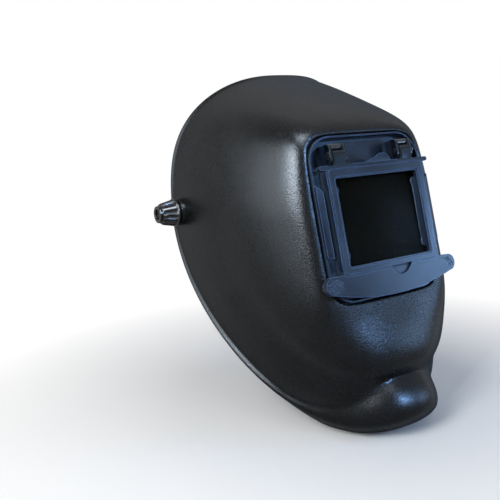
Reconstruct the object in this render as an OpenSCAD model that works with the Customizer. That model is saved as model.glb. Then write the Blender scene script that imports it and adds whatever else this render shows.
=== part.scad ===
// Welding helmet with a flip-up lens front and a ratchet headgear.
// Frame: millimetres, +Z up, the face looks along -Y, +X is to the viewer's right.
// The origin is the middle of the axis on which the shell tilts about the headgear.

/* [Shell] */
// Width of the shell at the tilt axis, without the rim lip
shell_w = 239; // [220:1:256]
// Height of the rim above the tilt axis
rim_rise = 138; // [120:1:150]
// Depth of the rim below the tilt axis
rim_drop = 199; // [185:1:215]
// How far the side rim lies behind the tilt axis
rim_back = 16; // [12:0.5:24]
// How far the top of the rim is swept forward
brow_sweep = 45; // [25:1:60]
// How far the chin end of the rim is swept forward
jaw_sweep = 190; // [170:1:205]
// Wall of the moulded shell
wall = 2.5; // [2:0.1:3.5]
// Height of the lip along the upper rim
lip_top = 2; // [1:0.1:4]
// Height of the flange along the lower rim
lip_low = 4; // [2:0.1:7]
// Height to which the lower flange swells at the chin
chin_roll = 26; // [14:0.5:30]
// Depth of the hollow above the chin roll
chin_hollow = 6.5; // [2:0.5:10]

/* [Lens] */
// Lens width
lens_w = 110; // [100:1:114]
// Lens height
lens_h = 90; // [80:1:94]
// How far the frames lap over each lens edge
lens_lap = 5; // [3:0.5:7]
// Dark filter lens thickness
filter_t = 3; // [2:0.1:3.5]
// Clear cover lens thickness
cover_t = 1; // [0.8:0.1:1.5]
// Clear safety lens thickness behind the fixed frame
inner_t = 2; // [1.5:0.1:3]
// Distance of the lens centre in front of the tilt axis
lens_reach = 186; // [175:1:195]
// Height of the lens centre above the tilt axis
lens_rise = -2; // [-10:1:10]
// Backward lean of the lens plane
lens_tilt = 13.6; // [8:0.2:18]

/* [Lens frame] */
// Margin of the window beside the lens
window_side = 13.5; // [12:0.5:15]
// Margin of the window above and below the lens
window_ends = 33; // [30:0.5:34]
// Height of the window's middle above the lens centre
window_mid = 4; // [2:0.5:6]
// Depth of the pocket that the fixed frame lies in
pocket_depth = 10; // [9:0.5:12]
// Base plate thickness of the fixed frame
base_t = 3; // [2.5:0.1:4]
// Wall of the rim round the fixed frame
rim_t = 1.6; // [1.2:0.1:2]
// Frame screw shank diameter
screw_d = 3.5; // [3:0.1:4]

/* [Flip front] */
// Depth of the bezel's face above the lens centre plane
face_n = 2.5; // [2:0.1:3]
// How far each side wing laps past the window
wing_lap = 0.5; // [0:0.5:2]
// How far each end of the finger handle reaches past the window
handle_reach = 11.5; // [8:0.5:14]
// Depth of the handle at its middle
handle_h = 26; // [22:0.5:29]
// Sideways place of the thumb tab and the notch
tab_x = 10; // [-14:1:14]
// Notch radius in the handle
notch_r = 13.5; // [10:0.5:15]

/* [Hinge] */
// Distance between the two hinges
hinge_span = 81.5; // [74:0.5:86]
// Height of the hinge pins above the front's top strip
hinge_rise = 11; // [10:0.5:13]
// Hinge pin diameter
pin_d = 4; // [3:0.1:5]
// Width of a hinge arm
arm_w = 12; // [9:0.5:14]

/* [Headgear] */
// Inner radius of the round ends of the headband
band_r = 84; // [78:0.5:88]
// Length of the straight sides of the headband
band_side = 44; // [36:1:50]
// Height of the headband strip
band_h = 24; // [18:1:28]
// Thickness of the headband strip
band_t = 1.6; // [1.2:0.1:2.2]
// Forward lean of the headband
band_lean = 10; // [0:1:15]
// Width of the crown strap
strap_w = 18; // [14:1:22]
// Thickness of the sweatband
pad_t = 6; // [4:0.5:9]

/* [Tilt pivot] */
// Pivot bolt diameter
bolt_d = 8; // [6:0.5:10]
// Diameter of the flat pivot pad on the shell
boss_d = 28; // [26:1:32]
// Tension knob flange diameter
knob_d = 30; // [26:1:34]
// Tension knob length
knob_l = 21; // [16:0.5:26]

/* [Ratchet] */
// Ratchet knob diameter
ratchet_d = 46; // [38:1:52]
// Ratchet knob depth
ratchet_l = 16; // [12:0.5:20]
// Number of flutes round the ratchet knob
ratchet_flutes = 14; // [10:1:20]

/* [Hidden] */
$fn = 48;

// Colours
shell_black = [0.13, 0.13, 0.14];
frame_navy = [0.16, 0.19, 0.28];
band_grey = [0.22, 0.22, 0.24];
bright_steel = [0.72, 0.73, 0.75];

// Clearances
seat_gap = 0.1;
soft_gap = 0.3;
run_gap = 0.1;
lens_gap = 0.3;
swing_gap = 0.5;

// Lens axes: right, up along the lens plane, outward from it
lens_centre = [0, -lens_reach, lens_rise];
lens_up = [0, sin(lens_tilt), cos(lens_tilt)];
lens_out = [0, -cos(lens_tilt), sin(lens_tilt)];
opening_w = lens_w - 2 * lens_lap;
opening_h = lens_h - 2 * lens_lap;
opening_r = 3;
lens_r = 2;

// Levels along the outward lens axis
edge_n = -10;
pocket_n = edge_n - pocket_depth;
base_n0 = pocket_n + seat_gap;
base_n1 = base_n0 + base_t;
rim_n1 = edge_n + 1;
gasket_t = 1;
wire_d = 1.6;
spigot_n0 = base_n0 - gasket_t - inner_t - wire_d - 2;
holder_n0 = base_n1 + swing_gap;
lens_seat_n = -8;
holder_lip = 2;
filter_n1 = lens_seat_n + filter_t + seat_gap / 2;
cover_n1 = filter_n1 + cover_t + seat_gap / 2;
spring_t = 1.3;
spring_n0 = cover_n1 + seat_gap;
bezel_n0 = spring_n0 + spring_t + seat_gap;
front_n = face_n - 0.5;

// Fixed frame outline
window_w = lens_w + 2 * window_side;
window_h = lens_h + 2 * window_ends;
frame_gap = 1.3;
frame_w = window_w - 2 * frame_gap;
frame_h = window_h - 2 * frame_gap;
frame_r = 0.19 * frame_w;
spigot_wall = 2.2;
spigot_w = lens_w + 2 * lens_gap + 2 * spigot_wall;
spigot_h = lens_h + 2 * lens_gap + 2 * spigot_wall;
spigot_r = 9;
flange_gap = 0.8;
screw_x = (spigot_w + window_w) / 4;
screw_v = spigot_h / 2 + screw_d + 1.5;
screw_head_d = 1.9 * screw_d;
screw_skin = 0.6;
retainer_t = 3;
retainer_n1 = pocket_n - wall - seat_gap;

// Flip front outline
bezel_w = lens_w + 4.4;
bezel_h = lens_h + 4;
bezel_r = 4;
bezel_mid = 1;
bezel_gap = 0.3;
holder_wall = 2;
holder_r = 5;
wing_w = window_w + 2 * wing_lap;
wing_t = 2;
wing_top = opening_h / 2 - 4;
wing_low = 10 - opening_h / 2;
wing_slant = 6;
wing_channel = 3.5;
wing_n0 = rim_n1 + swing_gap;
wing_n1 = -2;
wing_drop = 2;
holder_w = bezel_w + 2 * bezel_gap + 2 * holder_wall;
holder_h = bezel_h + 2 * bezel_gap + 2 * holder_wall;
strip_w = wing_w - 6;
strip_h = 4;
strip_v = bezel_mid + holder_h / 2 - strip_h / 2 + 1.7;
strip_n0 = -3;
tab_t = 2.5;
handle_w = window_w + 2 * handle_reach;
handle_top = bezel_mid - bezel_h / 2;
handle_end_r = 8;
handle_bow = 10;
handle_n0 = -5;
handle_n1 = 1.5;
tab_rise = 4;
tab_r = 10;
notch_gap = 0.8;

// Hinges
hinge_x = hinge_span / 2;
hinge_v = strip_v + hinge_rise;
pin_n = -2;
pin_head_t = 1.2;
barrel_r = pin_d / 2 + 2.5;
cheek_t = 2.5;
cheek_gap = 1.25;
cheek_x = arm_w / 2 + cheek_gap + cheek_t / 2;
cheek_r = 5;
cheek_low = 7.6;
cheek_high = 11;
cheek_front = pin_d / 2 + 1;
pin_reach = hinge_x + cheek_x + 2 * cheek_t;
leaf_t = 1.2;
roll_r = 3;
roll_v = hinge_v + barrel_r + swing_gap + roll_r;
roll_n = pin_n - 2;

// Stations along the tilt axis, from the headband outward
band_mid_y = 12;
band_low = 10;
arm_t = 2.5;
arm_x0 = band_r + band_t + seat_gap;
arm_x1 = arm_x0 + arm_t;
bolt_head_t = 3.4;
bolt_head_d = 2 * bolt_d;
washer_t = 1.5;
stop_t = 5;
stop_gap = 1.1;
sleeve_d = bolt_d + 9;
washer_d = bolt_d + 12;
washer_gap = 0.3;
peg_d = 6;
peg_r = boss_d / 2 + peg_d / 2 + 7;
tilt_range = 80;

// Ratchet stations behind the headband's rear arc centre
rear_y = band_mid_y + band_side / 2;
front_y = band_mid_y - band_side / 2;
band_z = band_low + band_h / 2;
tail_h = 15;
tail_step = band_t + 0.4;
tail_turn = 26;
tail_join = 62;
rack_pitch = 2;
rack_slot = 6.8;
housing_wall = 2;
housing_turn = 22;
housing_h = 34;
pinion_d = rack_slot - 2 * soft_gap;
shaft_d = 5;
ring_d = 30;
ring_t = 4;
cover_r0 = band_r + 2 * tail_step + soft_gap;
cover_wall = 3;
boss_y1 = rear_y + cover_r0 + cover_wall + ring_t;
ratchet_y0 = boss_y1 + soft_gap;

// Rivets, crown strap and pivot holes
rivet_d = 4;
rivet_head_d = 8;
rivet_head_t = 1.2;
rivet_y = [-4, 7];
rivet_z = band_z + 2;
strap_y = band_mid_y + band_side / 2 - strap_w / 2 - 3;
strap_hole_d = 5.4;
crown_lap = 15;
crown_z = band_low + band_h;
crown_rise = 1.3;
crown_shift = 0.7;
spare_hole = 1.5 * bolt_d + 2;
plate_w = 2 * spare_hole + bolt_d + 10;
plate_h = bolt_d + 16;
plate_mid = 2;

// Shell form: each curve runs from the window edge (t = 0) to the rim (t = 1)
// Lists of three hold the values at the brow, the sides and the jaw
shell_steps = 64;
row_count = 18;
row_t = concat([0.02], [for (k = [1:row_count - 1]) k / row_count], [0.965, 0.985, 1]);
corner_bunch = 6.9;
window_power = 7;
flange_power = 16;
rim_power = [2.7, 3.1];
sweep_power = [3.6, 1.85];
leave_lean = [0, -2, -6.5];
leave_reach = [17.5, 37, 34];
arrive_lean = [15, 5, 27];
arrive_reach = [62, 48, 87];
lip_start = [0.965, 0.95, 0.62];
lip_crest = [0.8, 0.4];
lip_turn = [0.3, 1.6];
flare_t = 0.86;
flare_end = 0.95;
chin_from = 0.77;
chin_span = 0.22;
chin_focus = 5;
chin_crease = 0.45;
chin_tuck = 0.65;
hollow_focus = 1.6;
hollow_at = 0.63;
hollow_spread = 0.11;
hollow_fade = [0.25, 0.2];

function oval(c, s, power) = pow(pow(abs(c), power) + pow(abs(s), power), -1 / power);
function toward(s, values) = values[1] + ((s >= 0 ? values[0] : values[2]) - values[1]) * s * s;
function ease(u) = let (k = min(max(u, 0), 1)) k * k * (3 - 2 * k);
function unit(v) = v / norm(v);
function in_lens(x, v, n) = lens_centre + [x, 0, 0] + v * lens_up + n * lens_out;

// Angles bunch up at the window's corners
function turn(i) = let (a = i * 360 / shell_steps) a + corner_bunch * sin(4 * a);
function window_edge(a, grow, n) =
  let (r = oval(cos(a), sin(a), window_power))
  in_lens((window_w / 2 + grow) * cos(a) * r, window_mid + (window_h / 2 + grow) * sin(a) * r, n);
function flange_edge(a, n) =
  let (r = oval(cos(a), sin(a), flange_power))
  in_lens((spigot_w / 2 + flange_gap) * cos(a) * r, (spigot_h / 2 + flange_gap) * sin(a) * r, n);
function rim_edge(a) =
  let (
    k = sin(a) >= 0 ? 0 : 1,
    r = oval(cos(a), sin(a), rim_power[k]),
    sweep = [brow_sweep, jaw_sweep][k] * pow(abs(sin(a) * r), sweep_power[k])
  )
  [shell_w / 2 * cos(a) * r, rim_back - sweep, [rim_rise, rim_drop][k] * sin(a) * r];

// A cubic arch from the window to the rim
function arch(a, t) =
  let (
    s = sin(a),
    lean_w = toward(s, leave_lean),
    lean_r = toward(s, arrive_lean),
    from = window_edge(a, 0, edge_n),
    to = rim_edge(a),
    leave = cos(lean_w) * ([cos(a), 0, 0] + s * lens_up) - sin(lean_w) * lens_out,
    arrive = [0, cos(lean_r), 0] + sin(lean_r) * [cos(a), 0, s],
    p1 = from + toward(s, leave_reach) * leave,
    p2 = to - toward(s, arrive_reach) * arrive,
    u = 1 - t
  )
  u * u * u * from + 3 * u * u * t * p1 + 3 * u * t * t * p2 + t * t * t * to;

// The way the lip stands: at the chin it turns along the arch
function chin_part(a) = ease((-sin(a) - chin_from) / chin_span);
function flare_way(a, t) =
  let (
    at = flare_t + (min(t, flare_end) - flare_t) * chin_part(a),
    along = arch(a, at + 0.01) - arch(a, at - 0.01)
  )
  unit(cross(along, arch(a + 0.5, at) - arch(a - 0.5, at)));

// The lip along the rim, which swells to the chin roll at the jaw
function lip(a, t) =
  let (
    low = ease(lip_turn[0] - lip_turn[1] * sin(a)),
    wide = chin_part(a),
    chin = wide * pow(max(-sin(a), 0), chin_focus),
    rise = lip_top + (lip_low - lip_top) * low + (chin_roll - lip_low) * chin,
    start = lip_start[0] + (lip_start[1] - lip_start[0]) * low + (lip_start[2] - lip_start[1]) * wide,
    crest = lip_crest[0] + (lip_crest[1] - lip_crest[0]) * chin,
    u = (t - start) / (1 - start),
    tuck = chin_tuck * chin * pow(max(u - crest, 0) / (1 - crest), 2)
  )
  rise * (pow(ease(u / crest), 1 - chin_crease * chin) - tuck);
function hollow(a, t) =
  chin_hollow * pow(max(-sin(a), 0), hollow_focus) * exp(-pow((t - hollow_at) / hollow_spread, 2))
  * ease(t / hollow_fade[0]) * ease((1 - t) / hollow_fade[1]);
function skin(a, t) = arch(a, t) + (lip(a, t) - hollow(a, t)) * flare_way(a, t);
function skin_normal(a, t) =
  unit(cross(skin(a, min(t + 0.01, 1)) - skin(a, max(t - 0.01, 0)), skin(a + 0.5, t) - skin(a - 0.5, t)));
function skin_point(a, t, depth) = skin(a, t) - depth * skin_normal(a, t);

// Inner face of the shell's side, and the stations that follow from it
function side_wall(y) =
  lookup(y, [for (k = [0:30]) let (p = skin_point(0, 0.4 + 0.02 * k, wall)) [p[1], p[0]]]);
stop_x1 = side_wall(-peg_r - peg_d / 2) - stop_gap;
boss_in = stop_x1 + washer_t + 2 * seat_gap;
boss_out = shell_w / 2 + 3;
knob_x0 = boss_out + washer_t + 3 * seat_gap;
bolt_x1 = knob_x0 + knob_l - 6;

// One closed section of the shell wall: pocket flange, outer face, rim, inner face
function shell_section(a) = concat(
  [flange_edge(a, pocket_n), window_edge(a, 0, pocket_n), window_edge(a, 0, edge_n - 1)],
  [for (t = row_t) skin_point(a, t, 0)],
  [for (k = [len(row_t) - 1:-1:1]) skin_point(a, row_t[k], wall)],
  [window_edge(a, wall, edge_n - wall), window_edge(a, wall, pocket_n - wall)],
  [flange_edge(a, pocket_n - wall)]
);

// A closed solid from a ring of like sections
module ring_of_sections(sections) {
  n = len(sections);
  m = len(sections[0]);
  polyhedron(
    points = [for (s = sections) for (p = s) p],
    faces = [
      for (i = [0:n - 1]) for (k = [0:m - 1])
        let (row = i * m, next = ((i + 1) % n) * m, j = (k + 1) % m)
        for (f = [[row + k, next + j, row + j], [row + k, next + k, next + j]]) f
    ],
    convexity = 8
  );
}

// Places and profiles
module at_lens() {
  translate(lens_centre) rotate([90 - lens_tilt, 0, 0]) children();
}
module at_gear() {
  rotate([-band_lean, 0, 0]) children();
}
module on_side(side) {
  mirror([side < 0 ? 1 : 0, 0, 0]) children();
}
module along_x(width) {
  translate([-width / 2, 0, 0]) rotate([90, 0, 90]) linear_extrude(width) children();
}
module rod_x(x0, x1, d) {
  translate([x0, 0, 0]) rotate([0, 90, 0]) cylinder(d = d, h = x1 - x0);
}
module rod_y(y0, y1, d) {
  translate([0, y0, 0]) rotate([-90, 0, 0]) cylinder(d = d, h = y1 - y0);
}
module slab(n0, n1) {
  translate([0, 0, n0]) linear_extrude(n1 - n0) children();
}
module rounded(w, h, r) {
  square([w - 2 * r, h], center = true);
  square([w, h - 2 * r], center = true);
  for (x = [-1, 1], y = [-1, 1]) translate([x * (w / 2 - r), y * (h / 2 - r)]) circle(r);
}
module lens_pane(n0, t) {
  slab(n0, n0 + t) rounded(lens_w, lens_h, lens_r);
}
module lens_pocket(n0, n1) {
  slab(n0, n1) rounded(lens_w + 2 * lens_gap, lens_h + 2 * lens_gap, lens_r + lens_gap);
}
module arc_wall(r0, r1, a0, a1, z0, z1) {
  rotate([0, 0, a0]) rotate_extrude(angle = a1 - a0) translate([r0, z0]) square([r1 - r0, z1 - z0]);
}

// Moulded face shell
module shell() color(shell_black) {
  difference() {
    union() {
      ring_of_sections([for (i = [0:shell_steps - 1]) shell_section(turn(i))]);
      for (side = [-1, 1]) on_side(side) {
        rod_x(boss_in, boss_out, boss_d);
        translate([0, -peg_r, 0]) rod_x(stop_x1 - stop_t + 1, side_wall(-peg_r) + wall / 2, peg_d);
      }
    }
    for (side = [-1, 1]) on_side(side) rod_x(boss_in - 1, boss_out + 1, bolt_d + 2 * run_gap);
    at_lens() screw_places() slab(pocket_n - wall - 1, pocket_n + 1) circle(d = screw_d + 1);
  }
}
module screw_places() {
  for (x = [-1, 1], v = [-1, 1]) translate([x * screw_x, v * screw_v, 0]) children();
}

// Fixed lens frame with its hinge cheeks
module lens_frame() color(frame_navy) at_lens() {
  difference() {
    union() {
      translate([0, window_mid, 0]) {
        slab(base_n0, base_n1) rounded(frame_w, frame_h, frame_r);
        slab(base_n0, rim_n1) difference() {
          rounded(frame_w, frame_h, frame_r);
          rounded(frame_w - 2 * rim_t, frame_h - 2 * rim_t, frame_r - rim_t);
        }
      }
      slab(spigot_n0, base_n1) rounded(spigot_w, spigot_h, spigot_r);
      for (h = [-1, 1], c = [-1, 1]) translate([h * hinge_x + c * cheek_x, 0, 0]) cheek();
    }
    slab(spigot_n0 - 1, base_n1 + 1) rounded(opening_w, opening_h, opening_r);
    lens_pocket(spigot_n0 - 1, base_n0);
    screw_places() slab(base_n0 - 1, base_n1 - screw_skin) circle(d = screw_d + run_gap);
    translate([0, hinge_v, pin_n]) rod_x(-pin_reach, pin_reach, pin_d + run_gap);
  }
}
module cheek() {
  height = cheek_low + cheek_high;
  depth = pin_n + cheek_front - base_n0;
  mid_v = hinge_v + (cheek_high - cheek_low) / 2;
  along_x(cheek_t) {
    translate([mid_v, base_n0 + depth / 2]) rounded(height, depth, cheek_r);
    translate([mid_v - height / 2, base_n0]) square([height, depth / 2]);
  }
}

// Clamp frame behind the shell flange
module frame_retainer() color(frame_navy) at_lens() {
  slab(retainer_n1 - retainer_t, retainer_n1) difference() {
    rounded(2 * screw_x + screw_head_d + 2, 2 * screw_v + screw_head_d + 3, spigot_r);
    rounded(spigot_w + 2 * soft_gap, spigot_h + 2 * soft_gap, spigot_r + soft_gap);
    screw_places() circle(d = screw_d + soft_gap);
  }
}
module frame_screws() color(bright_steel) at_lens() {
  n0 = retainer_n1 - retainer_t - seat_gap;
  head_t = 2;
  slot_w = 0.9;
  screw_places() {
    slab(n0, base_n1 - screw_skin - seat_gap) circle(d = screw_d);
    difference() {
      slab(n0 - head_t, n0) circle(d = screw_head_d);
      for (a = [0, 90]) rotate(a) slab(n0 - head_t - 1, n0 - head_t / 2)
        square([screw_d, slot_w], center = true);
    }
  }
}
module inner_lens() color([0.8, 0.88, 0.9, 0.4]) at_lens() {
  lens_pane(base_n0 - gasket_t - inner_t, inner_t - seat_gap / 2);
}
module inner_gasket() color([0.08, 0.08, 0.08]) at_lens() {
  slab(base_n0 - gasket_t, base_n0 - seat_gap / 2) difference() {
    rounded(lens_w, lens_h, lens_r);
    rounded(opening_w, opening_h, opening_r);
  }
}
module lens_wire() color(bright_steel) at_lens() {
  half_w = (lens_w - wire_d) / 2;
  half_h = (lens_h - wire_d) / 2;
  bend = 5;
  translate([0, 0, base_n0 - gasket_t - inner_t - wire_d / 2 - seat_gap]) {
    for (s = [-1, 1]) {
      translate([0, s * half_h, 0]) rod_x(bend - half_w, half_w - bend, wire_d);
      translate([s * half_w, 0, 0]) rod_y(bend - half_h, half_h - bend, wire_d);
    }
    for (corner = [[1, 1, 0], [-1, 1, 90], [-1, -1, 180], [1, -1, 270]])
      translate([corner[0] * (half_w - bend), corner[1] * (half_h - bend), 0]) rotate([0, 0, corner[2]])
        rotate_extrude(angle = 90) translate([bend, 0]) circle(d = wire_d);
  }
}
module hinge_pins() color(bright_steel) at_lens() {
  half = cheek_x + cheek_t / 2;
  for (h = [-1, 1]) translate([h * hinge_x, hinge_v, pin_n]) on_side(h) {
    rod_x(-half - 0.8, half + seat_gap, pin_d);
    rod_x(half + seat_gap, half + seat_gap + pin_head_t, pin_d + 2 * pin_head_t);
  }
}
// Leaf springs with a rolled end that rides on each hinge barrel
module hinge_springs() color([0.1, 0.1, 0.11]) at_lens() {
  for (h = [-1, 1]) translate([h * hinge_x, 0, 0]) along_x(arm_w + 1.5) {
    translate([roll_v, roll_n]) difference() {
      circle(roll_r);
      circle(roll_r - leaf_t);
    }
    translate([roll_v + roll_r - leaf_t, base_n1 + seat_gap]) square([leaf_t, roll_n - base_n1 - seat_gap]);
    translate([roll_v - roll_r, base_n1 + seat_gap]) square([2 * roll_r, leaf_t]);
  }
}

// Flip-up front that carries the dark lens
module front_holder() color(frame_navy) at_lens() {
  difference() {
    union() {
      translate([0, bezel_mid, 0]) slab(holder_n0, front_n) rounded(holder_w, holder_h, holder_r);
      translate([0, strip_v, 0]) slab(strip_n0, front_n + 0.6) rounded(strip_w, strip_h, strip_h / 2 - 0.1);
      side_wings();
      slab(handle_n0, handle_n1) handle_outline();
      slab(strip_n0, strip_n0 + tab_t) thumb_tab();
      for (h = [-1, 1]) translate([h * hinge_x, 0, 0]) along_x(arm_w) {
        translate([hinge_v, pin_n]) circle(barrel_r);
        translate([strip_v, pin_n]) square([hinge_v - strip_v, barrel_r]);
      }
    }
    slab(holder_n0 - 1, front_n + 1) rounded(opening_w, opening_h, opening_r);
    slab(holder_n0 - 1, lens_seat_n - holder_lip) rounded(lens_w - holder_lip, lens_h - holder_lip, bezel_r);
    lens_pocket(lens_seat_n, front_n + 1);
    translate([0, bezel_mid, 0]) slab(bezel_n0 - seat_gap, front_n + 1)
      rounded(bezel_w + 2 * bezel_gap, bezel_h + 2 * bezel_gap, bezel_r);
    translate([tab_x, handle_top + tab_rise, 0]) slab(bezel_n0 - seat_gap, front_n + 1) circle(notch_r);
    translate([0, hinge_v, pin_n]) rod_x(-pin_reach, pin_reach, pin_d + 2 * run_gap);
    grip_ribs();
  }
}
// Side wings: a low flange along the holder, and a raised plate that leans outward past a channel
module side_wings() {
  root = holder_w / 2 - 1;
  flange_x = wing_w / 2 - 0.5;
  plate_n0 = wing_n0 + wing_t / 2;
  for (s = [0, 1]) mirror([s, 0, 0]) {
    slab(wing_n0, wing_n0 + wing_t)
      polygon([[root, handle_top - 1], [flange_x, handle_top - 1], [flange_x, strip_v], [root, strip_v]]);
    intersection() {
      slab(plate_n0 - 1, wing_n1 + 1) wing_outline();
      translate([0, wing_top + 1, 0]) rotate([90, 0, 0]) linear_extrude(wing_top - wing_low + 2)
        polygon([
          [root, plate_n0], [wing_w, plate_n0], [wing_w / 2, wing_n1 - wing_drop],
          [holder_w / 2 + wing_channel, wing_n1], [root, wing_n1]
        ]);
    }
  }
}
// Raised plate of a wing: a slanted top and a round lower end
module wing_outline() {
  end_r = 3;
  x0 = holder_w / 2 + wing_channel;
  x1 = wing_w / 2;
  polygon([
    [x0, wing_low], [x1 - end_r, wing_low], [x1 - end_r, wing_low + end_r],
    [x1, wing_low + end_r], [x1, wing_top], [x0, wing_top - wing_slant]
  ]);
  translate([x1 - end_r, wing_low + end_r]) circle(end_r);
}
// Crescent handle: straight upper edge, round ends, bowed lower edge
module handle_outline() {
  half = handle_w / 2 - handle_end_r;
  bow_r = (half * half + handle_bow * handle_bow) / (2 * handle_bow);
  low = handle_top - handle_h;
  intersection() {
    translate([-half, low - 1]) square([2 * half, handle_h + 1]);
    translate([0, low + bow_r]) circle(bow_r, $fn = 180);
  }
  for (s = [-1, 1]) translate([s * half, handle_top - handle_end_r]) circle(handle_end_r);
}
module thumb_tab() {
  mid = tab_x + 2;
  translate([mid, strip_v]) intersection() {
    circle(tab_r);
    translate([-tab_r, 0]) square([2 * tab_r, tab_r]);
  }
  polygon([[mid - 3 * tab_r, strip_v], [mid, strip_v], [mid, strip_v + 0.9 * tab_r]]);
}
module grip_ribs() {
  groove_w = 0.8;
  groove_l = handle_end_r;
  groove_depth = 0.6;
  pitch = 2.6;
  first = handle_w / 2 - 4.5;
  for (k = [0:2]) translate([first - pitch * k, handle_top - handle_end_r, handle_n1 - groove_depth])
    rotate([0, 0, 20]) translate([-groove_w / 2, -groove_l / 2, 0]) cube([groove_w, groove_l, 2]);
}
module lens_bezel() color(frame_navy) at_lens() {
  step = 1.6;
  difference() {
    union() {
      translate([0, bezel_mid, 0]) slab(bezel_n0, face_n) rounded(bezel_w, bezel_h, bezel_r - bezel_gap);
      translate([tab_x, handle_top + tab_rise, 0])
        slab(bezel_n0, bezel_n0 + step) circle(notch_r - notch_gap);
    }
    slab(bezel_n0 - 1, face_n + 1) rounded(opening_w, opening_h, lens_r);
    slab(face_n - 1, face_n + 1) rounded(opening_w + 2 * step, opening_h + 2 * step, lens_r + step);
  }
}
module filter_lens() color([0.03, 0.05, 0.04]) at_lens() {
  lens_pane(lens_seat_n + seat_gap / 2, filter_t);
}
module cover_lens() color([0.2, 0.2, 0.22, 0.5]) at_lens() {
  lens_pane(filter_n1 + seat_gap / 2, cover_t);
}
// Bowed strips that press the lenses back, seen at both sides of the opening
module lens_springs() color(frame_navy) at_lens() {
  reach = 4.2;
  length = opening_h - 12;
  width = lens_lap + reach - 0.4;
  foot_r = 4.4;
  for (s = [-1, 1]) translate([s * (opening_w / 2 - reach + width / 2), 0, 0])
    slab(spring_n0, spring_n0 + spring_t) {
      rounded(width, length, 3.5);
      for (e = [-1, 1]) translate([-s * (width / 2 - 3), e * (length / 2 - foot_r)]) circle(foot_r);
    }
}

// Headband: a strip with straight sides, round front, and two rear tails with racks
module headband() color(band_grey) at_gear() {
  z0 = band_z - tail_h / 2;
  z1 = band_z + tail_h / 2;
  outer_r = band_r + tail_step;
  step_turn = 4;
  difference() {
    union() {
      translate([0, band_mid_y, 0]) difference() {
        translate([0, 0, band_low]) linear_extrude(band_h) difference() {
          band_outline(band_r + band_t);
          band_outline(band_r);
          rear_gap(90 - tail_join, 90 - tail_turn);
        }
        for (z = [z0 - band_h, z1]) translate([0, 0, z])
          linear_extrude(band_h) rear_gap(90 - tail_join + 1, 90 + tail_join);
      }
      translate([0, rear_y, 0]) {
        arc_wall(outer_r, outer_r + band_t, 90 - tail_join - step_turn, 90 + tail_turn, z0, z1);
        rotate([0, 0, 90 - tail_join - step_turn / 2]) translate([band_r + 0.4, -2, z0 + 1])
          cube([tail_step + band_t - 0.8, 4, tail_h - 2]);
      }
    }
    translate([0, rear_y, 0]) {
      arc_wall(band_r - 1, outer_r + band_t + 1, 90 - tail_turn + 4, 90 + tail_turn - 4,
        band_z - rack_slot / 2, band_z + rack_slot / 2);
      rack(band_r - 1, band_r + band_t + 0.2, -1);
      rack(outer_r - 0.2, outer_r + band_t + 1, 1);
    }
    for (s = [-1, 1]) rivet_places(s) rod_x(band_r - 1, band_r + band_t + 1, rivet_d + 2 * seat_gap);
  }
}
module band_outline(r) {
  square([2 * r, band_side], center = true);
  for (s = [-1, 1]) translate([0, s * band_side / 2]) circle(r);
}
module rear_gap(a0, a1) {
  far = 2 * band_r;
  translate([0, band_side / 2])
    polygon([[0, 0], far * [cos(a0), sin(a0)], [0, 2 * far], far * [cos(a1), sin(a1)]]);
}
// Rack teeth: notches along one edge of a tail's slot
module rack(r0, r1, edge) {
  pitch_turn = rack_pitch * 180 / (PI * band_r);
  count = floor((tail_turn - 6) / pitch_turn);
  for (k = [-count:count]) rotate([0, 0, 90 + k * pitch_turn])
    translate([r0, -rack_pitch / 4, band_z + (edge > 0 ? rack_slot / 2 - 0.1 : -rack_slot / 2 - 0.9)])
      cube([r1 - r0, rack_pitch / 2, 1]);
}
module rivet_places(side) {
  on_side(side) {
    for (y = rivet_y) translate([0, y, rivet_z]) children();
    translate([0, strap_y, band_z]) children();
  }
}
module band_rivets() color([0.12, 0.12, 0.12]) at_gear() {
  for (s = [-1, 1]) rivet_places(s) {
    rod_x(band_r - seat_gap - rivet_head_t, band_r - seat_gap, rivet_head_d);
    rod_x(band_r - seat_gap, band_r + band_t, rivet_d);
  }
  for (s = [-1, 1]) on_side(s) {
    for (y = rivet_y) translate([0, y, rivet_z]) rivet_end(arm_x1);
    translate([0, strap_y, band_z]) rivet_end(arm_x0 + band_t);
  }
}
module rivet_end(x) {
  rod_x(band_r + band_t - 0.1, x + seat_gap, rivet_d);
  rod_x(x + seat_gap, x + seat_gap + rivet_head_t, rivet_head_d);
}

// Crown strap: two halves that lap over the top of the head and button together
module arch_outline(r, drop) {
  circle(r);
  translate([-r, -drop]) square([2 * r, drop]);
}
// One half of the strap: an arch on its leg, cut off past the lap on the other side
module strap_half(r, cz) {
  drop = cz - plate_mid - plate_h / 2 - 1;
  far = 2 * r;
  translate([0, strap_y + strap_w / 2, cz]) rotate([90, 0, 0]) linear_extrude(strap_w) difference() {
    arch_outline(r + band_t, drop);
    arch_outline(r, drop + 1);
    translate([-far, -far - drop]) square([2 * far, far]);
    polygon([[0, 0], far * [-sin(crown_lap), cos(crown_lap)], [-far, far], [-far, -far], [0, -far]]);
  }
}
module strap_rivet_hole() {
  translate([0, strap_y, band_z]) rod_x(arm_x0 - 1, arm_x0 + band_t + 1, rivet_d + 2 * seat_gap);
}
module crown_strap_left() color(band_grey) at_gear() on_side(-1) {
  difference() {
    strap_half(arm_x0, crown_z);
    for (a = [50:10:100]) translate([0, strap_y, crown_z]) rotate([0, -a, 0])
      rod_x(arm_x0 - 1, arm_x0 + band_t + 1, strap_hole_d);
    strap_rivet_hole();
  }
}
module crown_strap_right() color(band_grey) at_gear() {
  difference() {
    translate([-crown_shift, 0, 0]) strap_half(arm_x0 + crown_shift, crown_z + crown_rise);
    translate([0, strap_y, crown_z]) rod_z(arm_x0 - 1, arm_x0 + 2 * band_t + 5, strap_hole_d);
    strap_rivet_hole();
  }
}
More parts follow.
